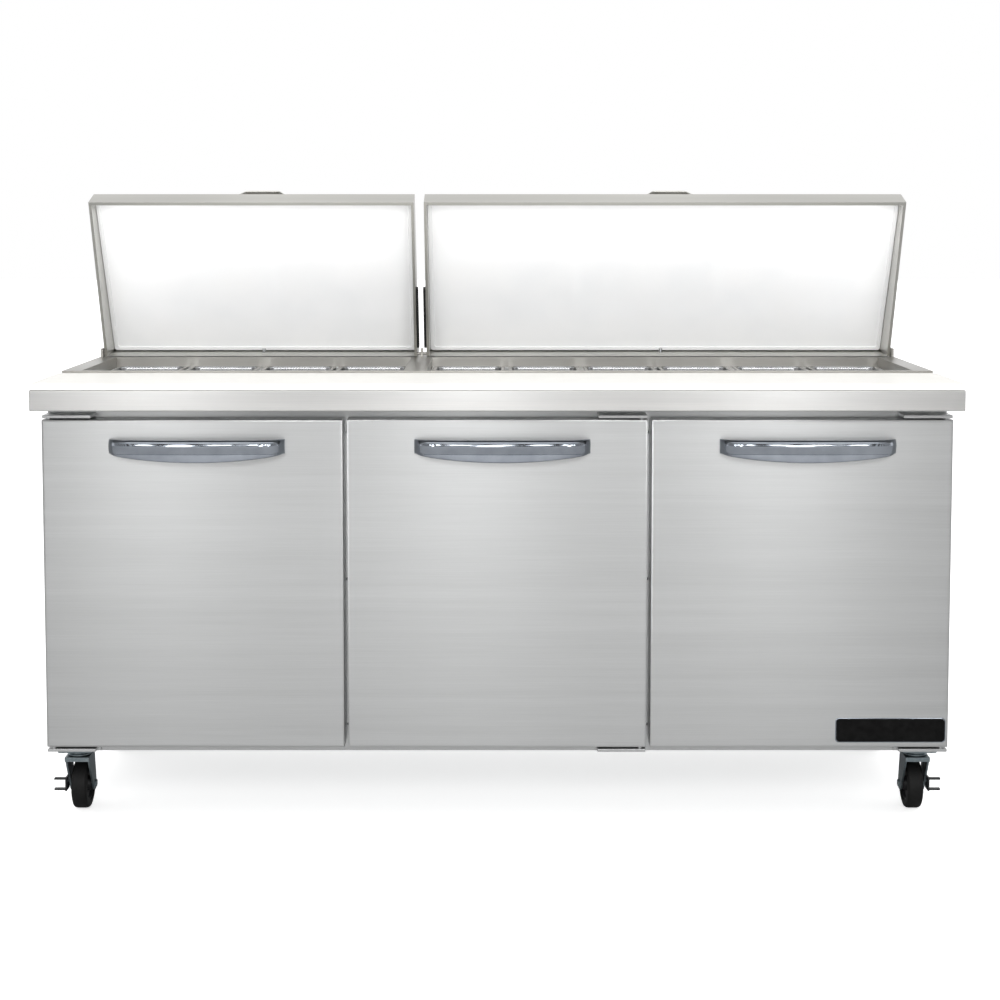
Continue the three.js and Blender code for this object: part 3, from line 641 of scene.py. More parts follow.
def make_world():
    """White behind and above the table; in front of it a room with a row of windows in a dark wall."""
    world = bpy.data.worlds.new("studio")
    world.use_nodes = True
    tree = world.node_tree
    direction = add(tree, "ShaderNodeTexCoord").outputs["Generated"]
    parts = add(tree, "ShaderNodeSeparateXYZ", {0: direction}).outputs
    bands = add(tree, "ShaderNodeValToRGB", {"Fac": parts["Z"]})
    stops = bands.color_ramp.elements
    while len(stops) < len(ROOM):
        stops.new(0.5)
    for stop, (height, level) in zip(stops, ROOM):
        stop.position = height
        stop.color = (level, level, level, 1.0)
    turned_x = add(tree, "ShaderNodeMath", {0: parts["X"], 1: WINDOW_TURNS}, operation="MULTIPLY").outputs[0]
    wave = add(tree, "ShaderNodeMath", {0: turned_x}, operation="SINE").outputs[0]
    window = add(tree, "ShaderNodeMapRange", {"Value": wave, "From Min": WINDOW_SHARE[0],
                                              "From Max": WINDOW_SHARE[1]}).outputs["Result"]
    room = add(tree, "ShaderNodeMixRGB", {"Fac": window, "Color1": bands.outputs["Color"],
                                          "Color2": WINDOW_LEVEL})
    ahead = add(tree, "ShaderNodeMapRange", {"Value": parts["Y"], "From Min": 0.0, "From Max": -0.35})
    mixed = add(tree, "ShaderNodeMixRGB", {"Fac": ahead.outputs["Result"], "Color1": WHITE,
                                           "Color2": room.outputs["Color"]})
    tree.links.new(mixed.outputs["Color"], tree.nodes["Background"].inputs["Color"])
    bpy.context.scene.world = world
    bpy.context.scene.view_settings.view_transform = "Standard"


class PREPTABLE_OT_stage(bpy.types.Operator):
    """Makes the finishes, floor, soft lights and camera"""
    bl_idname = "prep_table.stage"
    bl_label = "Stage"

    def execute(self, context):
        FINISH.update(make_materials())
        front_y = CAD_BOX[0][1]
        make_camera(front_y)
        make_world()
        make_floor()
        softbox("overhead", (0, -0.6, 3.4), (0, 0, 0.8), 3.5, 2.2, 40)
        # A broad fill that whitens the plastic without showing in the polished steel.
        softbox("fill", (0, -4.5, 1.6), (0, 0.3, 1.1), 4.0, 2.0, 70).visible_glossy = False
        for step in range(WINDOW_LIGHTS):
            x = WINDOW_PITCH * (step - WINDOW_LIGHTS // 2)
            softbox("window", (x, -4.8, 2.7), (x, 0, 0.9), 0.26, 1.1, 7)
        for x in STRIP_PLACES:
            softbox("strip", (x, -4.6, 1.35), (x * 0.6, 0, 0.5), 0.3, 2.0, 9)
        return {"FINISHED"}


# ---------- cabinet ----------


# Under the worktop: where the latch clips stand across the table, and half a clip's length.
CLIP_PLACES = (-0.372, -0.208, 0.376)
CLIP_HALF = 20 * MM
POST_SCREW_HEIGHTS = (0.2, 0.5, 0.8)
BACK_SCREWS = 9
FLANGE_WIDE = 9 * MM
FLANGE_NEAR = 18.3 * MM
FLANGE_FAR = 118 * MM
FLANGE_HIGH = 14.7 * MM


class PREPTABLE_OT_cabinet(bpy.types.Operator):
    """Makes the cabinet's panels, front frame, worktop and the clips under it"""
    bl_idname = "prep_table.cabinet"
    bl_label = "Cabinet"

    def execute(self, context):
        for side in LID_SIDES:
            folded(f"{side}_end_panel", f"{side}_side_skin", "steel_y", "cabinet")
        folded("back_panel", "back_skin", "galvanised", "cabinet")
        folded("base_panel", "base_skin", "galvanised", "cabinet")
        folded("face_frame", "front_frame", "steel_x", "cabinet", 0.8 * MM)
        # The worktop's lighter steel tint is painted light.
        folded("worktop", "worktop_skin", "steel_top_painted_light", "cabinet")
        self.apron_seams()
        self.clips()
        self.fasteners()
        return {"FINISHED"}

    def apron_seams(self):
        """The folded end flanges of the apron, welded on at both ends."""
        low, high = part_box("worktop")
        bm = bmesh.new()
        for x in (low[0], high[0] - FLANGE_WIDE):
            add_box(bm, (x, low[1] + FLANGE_NEAR, low[2]),
                    (x + FLANGE_WIDE, low[1] + FLANGE_FAR, low[2] + FLANGE_HIGH), 0.8 * MM)
        piece("apron_end_flanges", bm, "steel_x", "cabinet")

    def clips(self):
        """Small folded tabs under the worktop, beside each door's latch corner."""
        frame_low, frame_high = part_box("face_frame")
        under = frame_high[2]
        bm = bmesh.new()
        for x in CLIP_PLACES:
            corner = (x + CLIP_HALF, frame_low[1] - 0.4 * MM, under + 11.8 * MM)
            add_box(bm, (x - CLIP_HALF, frame_low[1] - 52 * MM, under + 9 * MM), corner, 0.6 * MM)
            add_box(bm, (x - CLIP_HALF, frame_low[1] - 3 * MM, under - 14 * MM), corner, 0.6 * MM)
        piece("worktop_clips", bm, "steel_x", "cabinet")

    def fasteners(self):
        """Screws round the back skin, and in the two posts beside the middle door."""
        low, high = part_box("back_panel")
        margin = 30 * MM
        pitch = (high[0] - low[0] - 2 * margin) / (BACK_SCREWS - 1)
        across = [low[0] + margin + i * pitch for i in range(BACK_SCREWS)]
        rear = high[1]
        points = [(x, rear, high[2] - 22 * MM) for x in across]
        points += [(x, rear, low[2] + 22 * MM) for x in across if x > -0.3]
        screws("back_skin_screws", points, "+y", "cabinet")
        post_x = [s * (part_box("door_middle_panel")[1][0] + 4 * MM) for s in (-1, 1)]
        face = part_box("face_frame")[0][1]
        dots = [(x, face, z) for x in post_x for z in POST_SCREW_HEIGHTS]
        screws("frame_screws", dots, "-y", "cabinet", radius=3.4 * MM)


# ---------- ingredient well ----------


# Half of a sixth-size pan across and front to back, over its rim.
PAN_HALF = (81 * MM, 88 * MM)


class PREPTABLE_OT_wells(bpy.types.Operator):
    """Makes the well's deck and bars, the food pans and the cutting board"""
    bl_idname = "prep_table.wells"
    bl_label = "Wells, pans and board"

    def execute(self, context):
        # The deck's darker steel tint is painted shade inside the well.
        folded("well_frame", "well_deck", "steel_well_painted_shade", "cabinet", 0.9 * MM)
        for side in LID_SIDES:
            folded(f"pan_grid_{side}", f"pan_bars_{side}", "steel_x", "cabinet", 0.8 * MM)
        number = 1
        for group in range(1, 6):
            for column in (-1, 1):
                for row in (-1, 1):
                    self.pan(group, column, row, number)
                    number += 1
        self.board()
        return {"FINISHED"}

    def pan(self, group, column, row, number):
        """One deep-drawn pan: rolled rim, stepped shoulder, tapered walls and a dished floor."""
        low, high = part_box(f"pan_set_{group}")
        half_x, half_y = PAN_HALF
        x = (low[0] + half_x) if column < 0 else (high[0] - half_x)
        y = (low[1] + half_y) if row < 0 else (high[1] - half_y)
        top, floor_z = high[2], low[2]
        wall = sizes().pan_wall
        corner = sizes().pan_corner
        rings = []

        def ring(inset, z, radius):
            outline = round_rectangle(half_x - inset, half_y - inset, max(radius, 2 * MM))
            rings.append([Vector((x + px, y + py, z)) for px, py in outline])

        ring(44 * MM, floor_z + wall + 0.5 * MM, corner)
        ring(24 * MM, floor_z + wall, corner)
        ring(19.5 * MM, floor_z + wall + 1.5 * MM, corner)
        ring(18 * MM, floor_z + wall + 6 * MM, corner)
        ring(11.5 * MM, top - 24 * MM, corner)
        ring(10.4 * MM, top - 21 * MM, corner)
        ring(10 * MM, top - 6 * MM, corner * 0.9)
        ring(9.2 * MM, top - 1.6 * MM, corner * 0.9)
        ring(7.4 * MM, top, corner * 0.85)
        ring(2.2 * MM, top, corner * 0.6)
        ring(0.7 * MM, top - 0.4 * MM, corner * 0.5)
        ring(0.2 * MM, top - 1.6 * MM, corner * 0.5)
        ring(1.4 * MM, top - 1.7 * MM, corner * 0.5)
        ring(7.8 * MM, top - 1.2 * MM, corner * 0.85)
        ring(8.9 * MM, top - 6 * MM, corner * 0.9)
        ring(9.3 * MM, top - 21 * MM, corner)
        ring(10.5 * MM, top - 25 * MM, corner)
        ring(17 * MM, floor_z + 6 * MM, corner)
        ring(18.6 * MM, floor_z + 1.2 * MM, corner)
        ring(24 * MM, floor_z, corner)
        ring(44 * MM, floor_z, corner)
        bm = bmesh.new()
        loft(bm, rings)
        stands_for = [f"pan_set_{group}"] if column < 0 and row < 0 else []
        piece(f"food_pan_{number}", bm, "pan", f"pan_set_{group}", stands_for, 50)

    def board(self):
        """The cutting board, planed round at its edges."""
        folded("cutting_board", "cutting_board_plank", "board", "cutting_board",
               sizes().board_edge)


# ---------- doors ----------


DOOR_BORDER = 7 * MM
DOOR_BORDER_FALL = 1.1 * MM


# Half of the blank plate across and up, and its gap to the door's right and bottom edges.
PLATE_HALF = (111 * MM, 25 * MM)
PLATE_GAP_X = 5 * MM
PLATE_GAP_Z = 10 * MM


class PREPTABLE_OT_doors(bpy.types.Operator):
    """Makes the three doors with their gaskets, inner skins, handles and the blank plate"""
    bl_idname = "prep_table.doors"
    bl_label = "Doors"

    def execute(self, context):
        for side in SIDES:
            body = f"door_{side}"
            self.skin(side, body)
            self.gasket(side, body)
            self.inner_skin(side, body)
            self.handle(side, body)
        self.plate()
        return {"FINISHED"}

    def skin(self, side, body):
        """The steel tray of a door: its face slopes back a little in a border all round."""
        node = f"door_{side}_panel"
        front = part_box(node)[0][1]
        bm = copy_of(node)
        face = max((f for f in bm.faces if f.normal[1] < -0.99), key=lambda f: f.calc_area())
        bmesh.ops.inset_region(bm, faces=[face], thickness=DOOR_BORDER)
        raised = set(face.verts)
        for vert in bm.verts:
            if vert not in raised and abs(vert.co[1] - front) < 0.1 * MM:
                vert.co[1] += DOOR_BORDER_FALL
        bevel_sharp(bm, 1.2 * MM)
        piece(f"door_{side}_skin", bm, "steel_x", body, [node])

    def gasket(self, side, body):
        """A magnetic gasket: a soft bellows lip around the door's inner face."""
        low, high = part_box(f"door_{side}_gasket")
        centre = (low + high) / 2
        half_x, half_z = (high[0] - low[0]) / 2, (high[2] - low[2]) / 2
        near, far = low[1], high[1]
        section = [(0.5, 0.0), (0.0, 0.35), (1.8, 0.6), (0.6, 0.85), (1.6, 1.0),
                   (8.0, 1.0), (10.0, 0.8), (8.8, 0.55), (10.5, 0.3), (10.0, 0.0)]
        rings = []
        for inset, depth in section:
            outline = round_rectangle(half_x - inset * MM, half_z - inset * MM, 4 * MM, 4)
            y = near + depth * (far - near)
            rings.append([Vector((centre[0] + px, y, centre[2] + pz)) for px, pz in outline])
        bm = bmesh.new()
        loft(bm, rings, round_trip=True)
        piece(f"door_{side}_seal", bm, "gasket", body, [f"door_{side}_gasket"], 50)

    def inner_skin(self, side, body):
        """The pressed inner skin of a door: a shallow tray inside the gasket."""
        low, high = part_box(f"door_{side}_gasket")
        centre = (low + high) / 2
        half_x, half_z = (high[0] - low[0]) / 2 - 22 * MM, (high[2] - low[2]) / 2 - 17 * MM
        start = low[1]
        steps = [(0, 0), (0, 3), (1, 4.2), (3, 4.8), (14, 4.8), (18, 4.4), (24, 1.6), (30, 1.2)]
        rings = []
        for inset, rise in steps:
            outline = round_rectangle(half_x - inset * MM, half_z - inset * MM, 12 * MM)
            rings.append([Vector((centre[0] + px, start + rise * MM, centre[2] + pz)) for px, pz in outline])
        bm = bmesh.new()
        loft(bm, rings)
        piece(f"door_{side}_inner_skin", bm, "inner", body, smooth=50)

    def handle(self, side, body):
        """A chrome pull: a crowned bar over a thin lip that hangs lower in its middle, bowed outwards."""
        low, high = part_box(f"door_{side}_handle")
        middle, half = (low[0] + high[0]) / 2, (high[0] - low[0]) / 2
        top, front = high[2], low[1]
        door_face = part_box(f"door_{side}_panel")[0][1]
        steps = 56
        rings = []
        for step in range(steps + 1):
            t = math.sin(math.pi / 2 * (2 * step / steps - 1))
            bow = front + 7 * MM * t * t + (door_face - front - 17 * MM) * abs(t) ** 16
            height = (30 + 15 * (1 - t * t)) * MM * (1 - 0.16 * abs(t) ** 40)
            rings.append(self.section(middle + t * half, bow, top - 1.5 * MM * abs(t) ** 40, height))
        bm = bmesh.new()
        loft(bm, rings)
        for s in (-1, 1):
            x = middle + s * (half - 16 * MM)
            add_box(bm, (x - 11 * MM, door_face - 14 * MM, top - 24 * MM),
                    (x + 11 * MM, door_face - 0.2 * MM, top - 6 * MM), 3 * MM)
        piece(f"door_{side}_pull", bm, "chrome", body, [f"door_{side}_handle"], 48)

    def section(self, x, front, top, height):
        """One cross section of the pull: a crown, a face that leans back under it, and a thin lip."""
        turns = [math.pi / 2 * step / 9 for step in range(10)]
        crown = [(10 * (1 - math.cos(turn)), 13 * (math.sin(turn) - 1)) for turn in reversed(turns)]
        crown += [(0.8, -15), (3, -24), (4, -27.5), (6.2, -28.5)]
        foot = -height / MM
        lip = [(6.6, foot + 2.5), (7.2, foot + 0.7), (8.4, foot), (9.6, foot + 1), (10, foot + 3), (10.2, -14)]
        return [Vector((x, front + along * MM, top + down * MM)) for along, down in crown + lip]

    def plate(self):
        """The blank black plate in the lower right corner, with a bright rim."""
        low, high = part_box("door_right_panel")
        face = low[1]
        half_x, half_z = PLATE_HALF
        centre = Vector((high[0] - PLATE_GAP_X - half_x, face, low[2] + PLATE_GAP_Z + half_z))

        def ring(inset, depth):
            outline = round_rectangle(half_x - inset * MM, half_z - inset * MM, 7 * MM)
            return [Vector((centre[0] + px, face - depth * MM, centre[2] + pz)) for px, pz in outline]

        rim = bmesh.new()
        edge = [(0, 0.1), (0, 1.2), (0.5, 1.8), (1.4, 1.8), (1.8, 1.1), (1.8, 0.1)]
        loft(rim, [ring(inset, depth) for inset, depth in edge], round_trip=True)
        piece("plate_rim", rim, "chrome", "door_right", smooth=50)
        face_bm = bmesh.new()
        loft(face_bm, [ring(2.0, 0.1), ring(2.0, 0.9), ring(2.5, 1.2)])
        piece("plate_face", face_bm, "plate", "door_right", smooth=50)


HINGE_FLANGE = 4.7 * MM


class PREPTABLE_OT_hinges(bpy.types.Operator):
    """Makes the door hinge brackets and their screws"""
    bl_idname = "prep_table.hinges"
    bl_label = "Hinges"

    def execute(self, context):
        for side in SIDES:
            for level in ("top", "bottom"):
                node = f"hinge_{side}_{level}"
                folded(node, f"{node}_bracket", "steel_x", "cabinet", 0.8 * MM)
                low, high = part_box(node)
                y = high[1] - HINGE_FLANGE
                z = high[2] - 6 * MM if level == "top" else low[2] + 7 * MM
                xs = [low[0] + 14 * MM, centre_of(node)[0], high[0] - 14 * MM]
                screws(f"{node}_screws", [(x, y, z) for x in xs], "-y", "cabinet", finish="zinc",
                       radius=3.6 * MM)
        return {"FINISHED"}


# ---------- lids ----------


def lid_frame(side):
    """The matrix from a shut lid's own frame, with its pivot at the origin, to the open lid."""
    joint = JOINTS[f"lid_{side}_hinge"]
    opened = math.radians(joint["range_deg"][0])
    return Matrix.Translation(Vector(joint["pos_m"])) @ Matrix.Rotation(opened, 4, "X")


TRIM_WIDE = 5.5 * MM
TRIM_REACH = (-165 * MM, -16 * MM)
TRIM_HEIGHT = (-4 * MM, 8 * MM)


class PREPTABLE_OT_lids(bpy.types.Operator):
    """Makes the two lids with their white liners, grips, studs and edge trim"""
    bl_idname = "prep_table.lids"
    bl_label = "Lids"

    def execute(self, context):
        for side in LID_SIDES:
            body = f"lid_{side}"
            folded(f"lid_{side}_shell", f"lid_{side}_hood", "steel_lid", body, 1.2 * MM)
            self.liner(side, body)
            self.grip(side, body)
            self.stud(side, body)
            self.trim(side, body)
        return {"FINISHED"}

    def liner(self, side, body):
        """A formed white sheet with a raised border, under the top of the lid."""
        local = lid_frame(side).inverted()
        points = [local @ vert.co for vert in NODES[f"lid_{side}_liner"].data.vertices]
        x0, x1 = min(p[0] for p in points), max(p[0] for p in points)
        middle = sum(p[1] for p in points) / len(points)
        near = min((p for p in points if p[1] < middle), key=lambda p: p[2])
        far = min((p for p in points if p[1] > middle), key=lambda p: p[2])
        along = Vector((0, far[1] - near[1], far[2] - near[2]))
        down = Vector((0, along[2], -along[1])).normalized()
        half_x, half_t = (x1 - x0) / 2, along.length / 2
        centre = Vector(((x0 + x1) / 2, (near[1] + far[1]) / 2, (near[2] + far[2]) / 2))
        along.normalize()
        matrix = lid_frame(side)
        profile = [(0, -12), (0, -0.6), (0.6, 0), (1.4, 0.2), (7.5, 0.2), (8.6, -0.2), (9.4, -2.4), (11, -3)]
        rings = []
        for inset, rise in profile:
            outline = round_rectangle(half_x - inset * MM, half_t - inset * MM, 6 * MM)
            rings.append([matrix @ (centre + Vector((px, 0, 0)) + along * pt + down * rise * MM)
                          for px, pt in outline])
        bm = bmesh.new()
        loft(bm, rings)
        piece(f"lid_{side}_white_liner", bm, "liner", body, [f"lid_{side}_liner"], 40)

    def grip(self, side, body):
        """A folded steel grip with sloped ends on the front edge of the lid."""
        local = lid_frame(side).inverted()
        points = [local @ vert.co for vert in NODES[f"lid_{side}_handle"].data.vertices]
        low = Vector(min(p[i] for p in points) for i in range(3))
        high = Vector(max(p[i] for p in points) for i in range(3))
        centre, half = (low[0] + high[0]) / 2, (high[0] - low[0]) / 2
        rings = []
        steps = 24
        for step in range(steps + 1):
            t = 2 * step / steps - 1
            rise = min(1.0, (1 - abs(t)) * 2.8)
            rise = rise * rise * (3 - 2 * rise)
            z = low[2] + 2.5 * MM + (high[2] - low[2] - 5 * MM) * rise
            outline = round_rectangle((high[1] - low[1]) / 2 - 1 * MM, 2.3 * MM, 1.6 * MM, 4)
            y = (low[1] + high[1]) / 2
            rings.append([Vector((centre + t * half, y + py, z + pz)) for py, pz in outline])
        bm = bmesh.new()
        loft(bm, rings)
        bm.transform(lid_frame(side))
        piece(f"lid_{side}_grip", bm, "steel_lid", body, [f"lid_{side}_handle"], 50)

    def stud(self, side, body):
        """The domed end of the screw that holds the lid's stop, on its rear wall."""
        low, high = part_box(f"lid_{side}_shell")
        foot = Vector(((low[0] + high[0]) / 2 + 6 * MM, lid_frame(side).translation[1] + 6 * MM,
                       lid_frame(side).translation[2] + 1 * MM))
        bm = bmesh.new()
        turned(bm, [(0, 3.2), (1, 3.4), (7, 3.2), (7.6, 4.6), (9, 4.8), (10.4, 3.6), (11, 1.6)], foot)
        piece(f"lid_{side}_stud", bm, "bolt", body, smooth=50)

    def trim(self, side, body):
        """The dark strip along the lower part of the skirt that faces the other lid."""
        local = lid_frame(side).inverted()
        points = [local @ vert.co for vert in NODES[f"lid_{side}_shell"].data.vertices]
        inner = max(p[0] for p in points) if side == "left" else min(p[0] for p in points)
        x0, x1 = (inner, inner + TRIM_WIDE) if side == "left" else (inner - TRIM_WIDE, inner)
        bm = bmesh.new()
        add_box(bm, (x0, TRIM_REACH[0], TRIM_HEIGHT[0]), (x1, TRIM_REACH[1], TRIM_HEIGHT[1]), 0.9 * MM)
        bm.transform(lid_frame(side))
        piece(f"lid_{side}_trim", bm, "strap", body)


# ---------- casters ----------


CASTER_PLATE_THICK = 7.7 * MM
TYRE_HALF = 16 * MM


class PREPTABLE_OT_casters(bpy.types.Operator):
    """Makes the four casters: plates, forks, wheels, brakes and bolts"""
    bl_idname = "prep_table.casters"
    bl_label = "Casters"

    def execute(self, context):
        for end, side in CORNERS:
            tag = f"{end}_{side}"
            folded(f"caster_plate_{tag}", f"caster_top_plate_{tag}", "zinc", "cabinet",
                   0.9 * MM)
            folded(f"caster_fork_{tag}", f"caster_yoke_{tag}", "zinc", f"caster_{tag}",
                   0.9 * MM)
            self.wheel(tag)
            self.race(tag)
            self.bolts(tag)
        for side in LID_SIDES:
            folded(f"brake_pedal_{side}", f"brake_lever_{side}", "black", f"pedal_{side}",
                   0.8 * MM)
        return {"FINISHED"}

    def wheel(self, tag):
        """A rubber tyre on a moulded hub."""
        node = f"caster_wheel_{tag}"
        low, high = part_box(node)
        centre = (low + high) / 2
        radius = (high[2] - low[2]) / 2
        side = [(-TYRE_HALF, radius - 15 * MM), (-TYRE_HALF, radius - 6 * MM),
                (-TYRE_HALF + 1.2 * MM, radius - 2.6 * MM), (-TYRE_HALF + 4 * MM, radius - 0.6 * MM),
                (-TYRE_HALF + 8 * MM, radius)]
        tyre = bmesh.new()
        lathe(tyre, both_sides(side), centre, "x", 64)
        piece(f"caster_tyre_{tag}", tyre, "tyre", f"wheel_{tag}", [node], 40)
        rim = radius - 15.2 * MM
        face = 14 * MM
        side = [(-face, rim), (-face, rim - 3 * MM), (-9 * MM, rim - 6 * MM), (-8 * MM, 17 * MM),
                (-16 * MM, 14 * MM), (-20 * MM, 13 * MM), (-20 * MM, 5.6 * MM)]
        hub = bmesh.new()
        lathe(hub, both_sides(side), centre, "x", 48)
        piece(f"caster_hub_{tag}", hub, "hub", f"wheel_{tag}", smooth=40)

    def race(self, tag):
        """The swivel race and its dust cover, between the plate and the yoke."""
        low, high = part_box(f"caster_plate_{tag}")
        centre = (low + high) / 2
        top = high[2] - CASTER_PLATE_THICK - 0.2 * MM
        outline = [(0, 9), (0, 22), (-2, 24), (-5, 24), (-7, 22.5),
                   (-9, 22.5), (-11, 24.5), (-13, 24.5), (-14, 23), (-14, 9)]
        bm = bmesh.new()
        lathe(bm, [(a * MM, r * MM) for a, r in outline], (centre[0], centre[1], top), "z", 40)
        piece(f"caster_race_{tag}", bm, "zinc", "cabinet", smooth=40)

    def bolts(self, tag):
        """The four bolt heads under a caster's plate."""
        low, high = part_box(f"caster_plate_{tag}")
        z = high[2] - CASTER_PLATE_THICK
        points = [(x, y, z) for x in (low[0] + 9 * MM, high[0] - 9 * MM)
                  for y in (low[1] + 12 * MM, high[1] - 12 * MM)]
        screws(f"caster_bolts_{tag}", points, "-z", "cabinet", "zinc", 5.5 * MM, 0.6)


# ---------- refrigeration and shelves ----------


# The cover's air slots: the middle of each column across, the height of the lowest, and their pitch.
LOUVRE_COLUMNS = (-0.732, -0.482)
LOUVRE_LOWEST = 0.2055
LOUVRE_PITCH = 22 * MM
LOUVRE_SIZE = (208 * MM, 1.2 * MM, 11 * MM)
LOUVRE_TILT = 0.5

FAN_BLADES = 5
BLADE_STATIONS = 8
FAN_HUB = 17 * MM


class PREPTABLE_OT_refrigeration(bpy.types.Operator):
    """Makes the machine bay, its louvred cover, the compressor, the coils and the fans"""
    bl_idname = "prep_table.refrigeration"
    bl_label = "Refrigeration"

    def execute(self, context):
        folded("machine_bay", "machine_box", "galvanised", "cabinet", 0.8 * MM)
        folded("machine_cover", "louvred_cover", "galvanised", "cabinet", 0.7 * MM)
        folded("compressor", "compressor_shell", "black", "cabinet", 1.2 * MM, 50)
        folded("condenser_coil", "condenser_block", "fins", "cabinet", 0.8 * MM)
        folded("evaporator_coil", "evaporator_block", "fins", "cabinet", 0.8 * MM)
        self.louvres()
        self.cover_screws()
        self.fins("condenser", 44 * MM)
        self.fins("evaporator", 64.7 * MM)
        for name in ("condenser_fan", "evaporator_fan"):
            self.fan(name)
        self.pipe()
        return {"FINISHED"}

    def louvres(self):
        """Hooded blades over the air slots of the rear cover."""
        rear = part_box("machine_cover")[1][1] - 5.5 * MM
        meshes = [blades(sizes().louvre_count, (x, rear, LOUVRE_LOWEST), (0, 0, LOUVRE_PITCH), LOUVRE_SIZE,
                         (LOUVRE_TILT, 0, 0), "galvanised") for x in LOUVRE_COLUMNS]
        piece("cover_louvres", joined(meshes), "galvanised", "cabinet")

    def cover_screws(self):
        """Six screws in the cover, three along its top and three along its bottom."""
        low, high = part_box("machine_cover")
        across = (low[0] + 12 * MM, centre_of("machine_cover")[0], high[0] - 12 * MM)
        up = (low[2] + 14 * MM, high[2] - 14 * MM)
        points = [(x, high[1] - 1.2 * MM, z) for x in across for z in up]
        screws("cover_screws", points, "+y", "cabinet", rise=0.25, radius=4 * MM)

    def fins(self, name, depth):
        """Thin upright fins on the front face of a coil of a given depth."""
        low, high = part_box(f"{name}_coil")
        pitch = 5 * MM
        margin = 4 * MM
        count = int((high[0] - low[0] - 2 * margin) / pitch)
        first = (low[0] + margin + pitch / 2, high[1] - depth - 2 * MM, (low[2] + high[2]) / 2)
        size = (0.8 * MM, 4 * MM, high[2] - low[2] - 2 * margin)
        mesh = blades(count, first, (pitch, 0, 0), size, (0, 0, 0), "fins")
        place_mesh(f"{name}_fins", mesh, "fins", "cabinet")

    def fan(self, node):
        """A fan wheel with twisted blades about a round hub."""
        low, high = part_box(node)
        joint = JOINTS["rotor_condenser_spin" if node == "condenser_fan" else "rotor_evaporator_spin"]
        centre = Vector(joint["pos_m"])
        radius = (high[0] - low[0]) / 2 - 2 * MM
        bm = bmesh.new()
        hub = [(-10, 3), (-10, 17), (-8, 19.5), (8, 19.5), (10, 17), (10, 3)]
        lathe(bm, [(a * MM, r * MM) for a, r in hub], centre, "y", 32)
        for index in range(FAN_BLADES):
            start = 2 * math.pi * index / FAN_BLADES
            rings = []
            for step in range(BLADE_STATIONS + 1):
                out = step / BLADE_STATIONS
                reach = FAN_HUB + (radius - FAN_HUB) * out
                pitch = 0.42 - 0.16 * out
                wide = 17 * MM + 9 * MM * math.sin(math.pi * (0.25 + 0.55 * out))
                ring = []
                for across, thick in ((-1, 0), (-0.5, 0.7), (0, 1), (0.5, 0.7), (1, 0), (0.5, -0.7), (0, -1),
                                      (-0.5, -0.7)):
                    u = across * wide * math.cos(pitch)
                    v = max(-9.5 * MM, min(9.5 * MM, across * wide * math.sin(pitch))) + thick * 0.8 * MM
                    angle = start + u / max(reach, 30 * MM)
                    ring.append(centre + Vector((reach * math.cos(angle), v, reach * math.sin(angle))))
                rings.append(ring)
            loft(bm, rings)
        piece(f"{node}_wheel", bm, "fins", node, [node], 40)

    def pipe(self):
        """The copper line from the compressor to the condenser."""
        shell_low, shell_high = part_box("compressor")
        coil_low, coil_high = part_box("condenser_coil")
        middle = (shell_low + shell_high) / 2
        start = Vector((middle[0] + 20 * MM, middle[1], shell_high[2] - 12 * MM))
        end = Vector((coil_low[0] + 14 * MM, coil_high[1] - 20 * MM, coil_high[2] - 2 * MM))
        curve = bpy.data.curves.new("refrigerant_line", "CURVE")
        curve.dimensions = "3D"
        spline = curve.splines.new("BEZIER")
        spline.bezier_points.add(2)
        for point, place in zip(spline.bezier_points, (start, (start + end) / 2, end)):
            point.co = place
            point.handle_left_type = point.handle_right_type = "AUTO"
        spline.bezier_points[1].co[2] = shell_high[2] + 95 * MM
        curve.bevel_depth = 3.2 * MM
        curve.bevel_resolution = 3
        curve.use_fill_caps = True
        obj = bpy.data.objects.new("refrigerant_line", curve)
        bpy.context.scene.collection.objects.link(obj)
        mesh = bpy.data.meshes.new_from_object(obj.evaluated_get(bpy.context.evaluated_depsgraph_get()))
        bpy.data.objects.remove(obj)
        place_mesh("refrigerant_pipe", mesh, "copper", "cabinet")


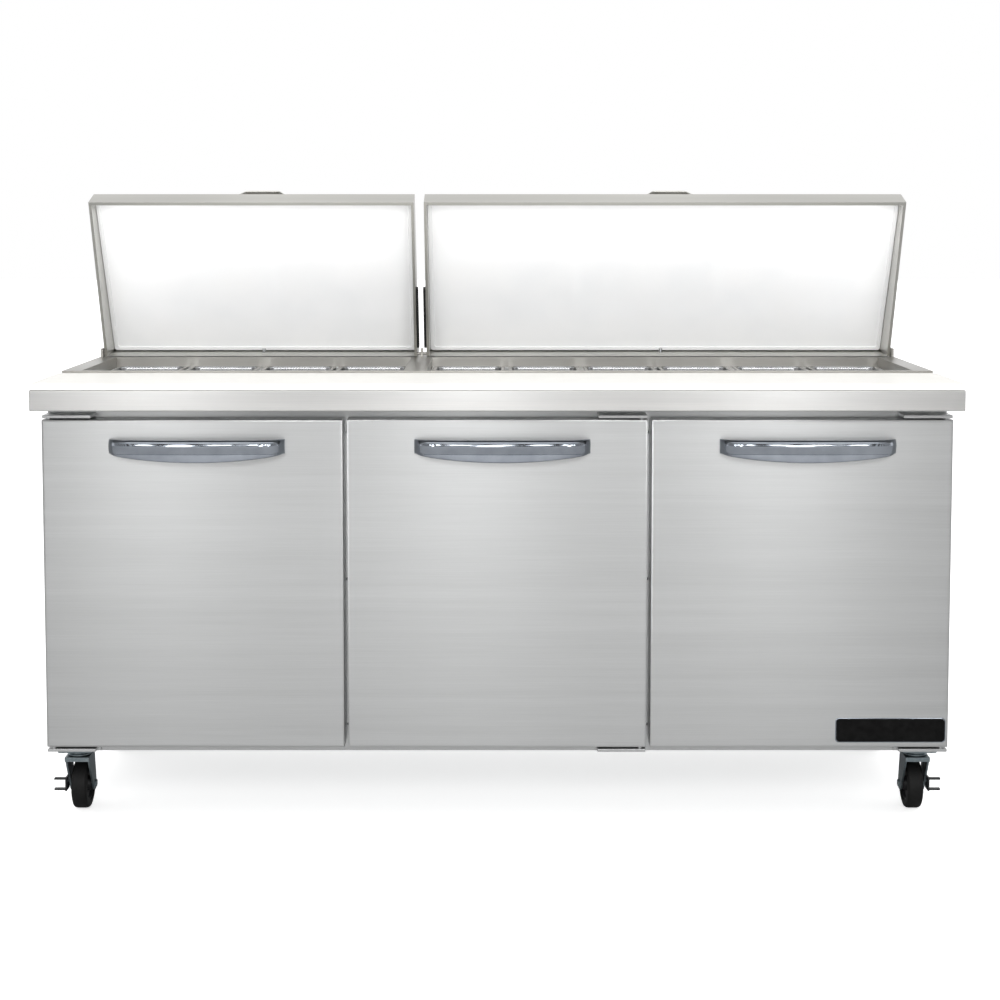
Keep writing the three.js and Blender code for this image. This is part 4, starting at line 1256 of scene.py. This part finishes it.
class PREPTABLE_OT_shelves(bpy.types.Operator):
    """Makes the three wire shelves"""
    bl_idname = "prep_table.shelves"
    bl_label = "Shelves"

    def execute(self, context):
        wire = sizes().shelf_wire
        pitch = sizes().shelf_pitch
        for side in SIDES:
            node = f"shelf_{side}"
            low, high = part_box(node)
            wide, deep = high[0] - low[0], high[1] - low[1]
            middle = (low + high) / 2
            count = int((wide - 2 * wire) / pitch) + 1
            start = middle[0] - (count - 1) * pitch / 2
            along_y = (math.pi / 2, 0, 0)
            along_x = (0, math.pi / 2, 0)
            top = high[2] - wire
            heavy = wire * 1.35
            under = top - wire - heavy * 0.8
            meshes = [
                rods(count, (start, middle[1], top), (pitch, 0, 0), wire, deep - 2 * heavy, along_y),
                rods(4, (middle[0], low[1] + 2 * heavy, under), (0, (deep - 4 * heavy) / 3, 0), heavy,
                     wide - 2 * heavy, along_x),
                rods(2, (low[0] + heavy, middle[1], under), (wide - 2 * heavy, 0, 0), heavy, deep - 2 * heavy,
                     along_y),
            ]
            piece(f"wire_shelf_{side}", joined(meshes), "wire", f"shelf_{side}", [node], 50)
        return {"FINISHED"}


# ---------- panel and registration ----------

STEPS = ("stage", "cabinet", "wells", "doors", "hinges", "lids", "casters", "refrigeration", "shelves")


class PREPTABLE_PT_steps(bpy.types.Panel):
    """Lists the steps that build the table"""
    bl_idname = "PREPTABLE_PT_steps"
    bl_label = "Prep table"
    bl_space_type = "VIEW_3D"
    bl_region_type = "UI"
    bl_category = "Prep table"

    def draw(self, context):
        for step in STEPS:
            self.layout.operator(f"prep_table.{step}")
        for group in (context.scene.prep_table_sizes, context.scene.prep_table_colours):
            for key in group.__annotations__:
                self.layout.prop(group, key)


CLASSES = (
    PrepTableSizes,
    PrepTableColours,
    PREPTABLE_OT_stage,
    PREPTABLE_OT_cabinet,
    PREPTABLE_OT_wells,
    PREPTABLE_OT_doors,
    PREPTABLE_OT_hinges,
    PREPTABLE_OT_lids,
    PREPTABLE_OT_casters,
    PREPTABLE_OT_refrigeration,
    PREPTABLE_OT_shelves,
    PREPTABLE_PT_steps,
)


def register():
    for cls in CLASSES:
        bpy.utils.register_class(cls)
    bpy.types.Scene.prep_table_sizes = PointerProperty(type=PrepTableSizes)
    bpy.types.Scene.prep_table_colours = PointerProperty(type=PrepTableColours)


def unregister():
    del bpy.types.Scene.prep_table_colours
    del bpy.types.Scene.prep_table_sizes
    for cls in reversed(CLASSES):
        bpy.utils.unregister_class(cls)


def main():
    """Registers the add-on and runs its steps in order."""
    register()
    for step in STEPS:
        getattr(bpy.ops.prep_table, step)()


if __name__ == "__main__":
    main()
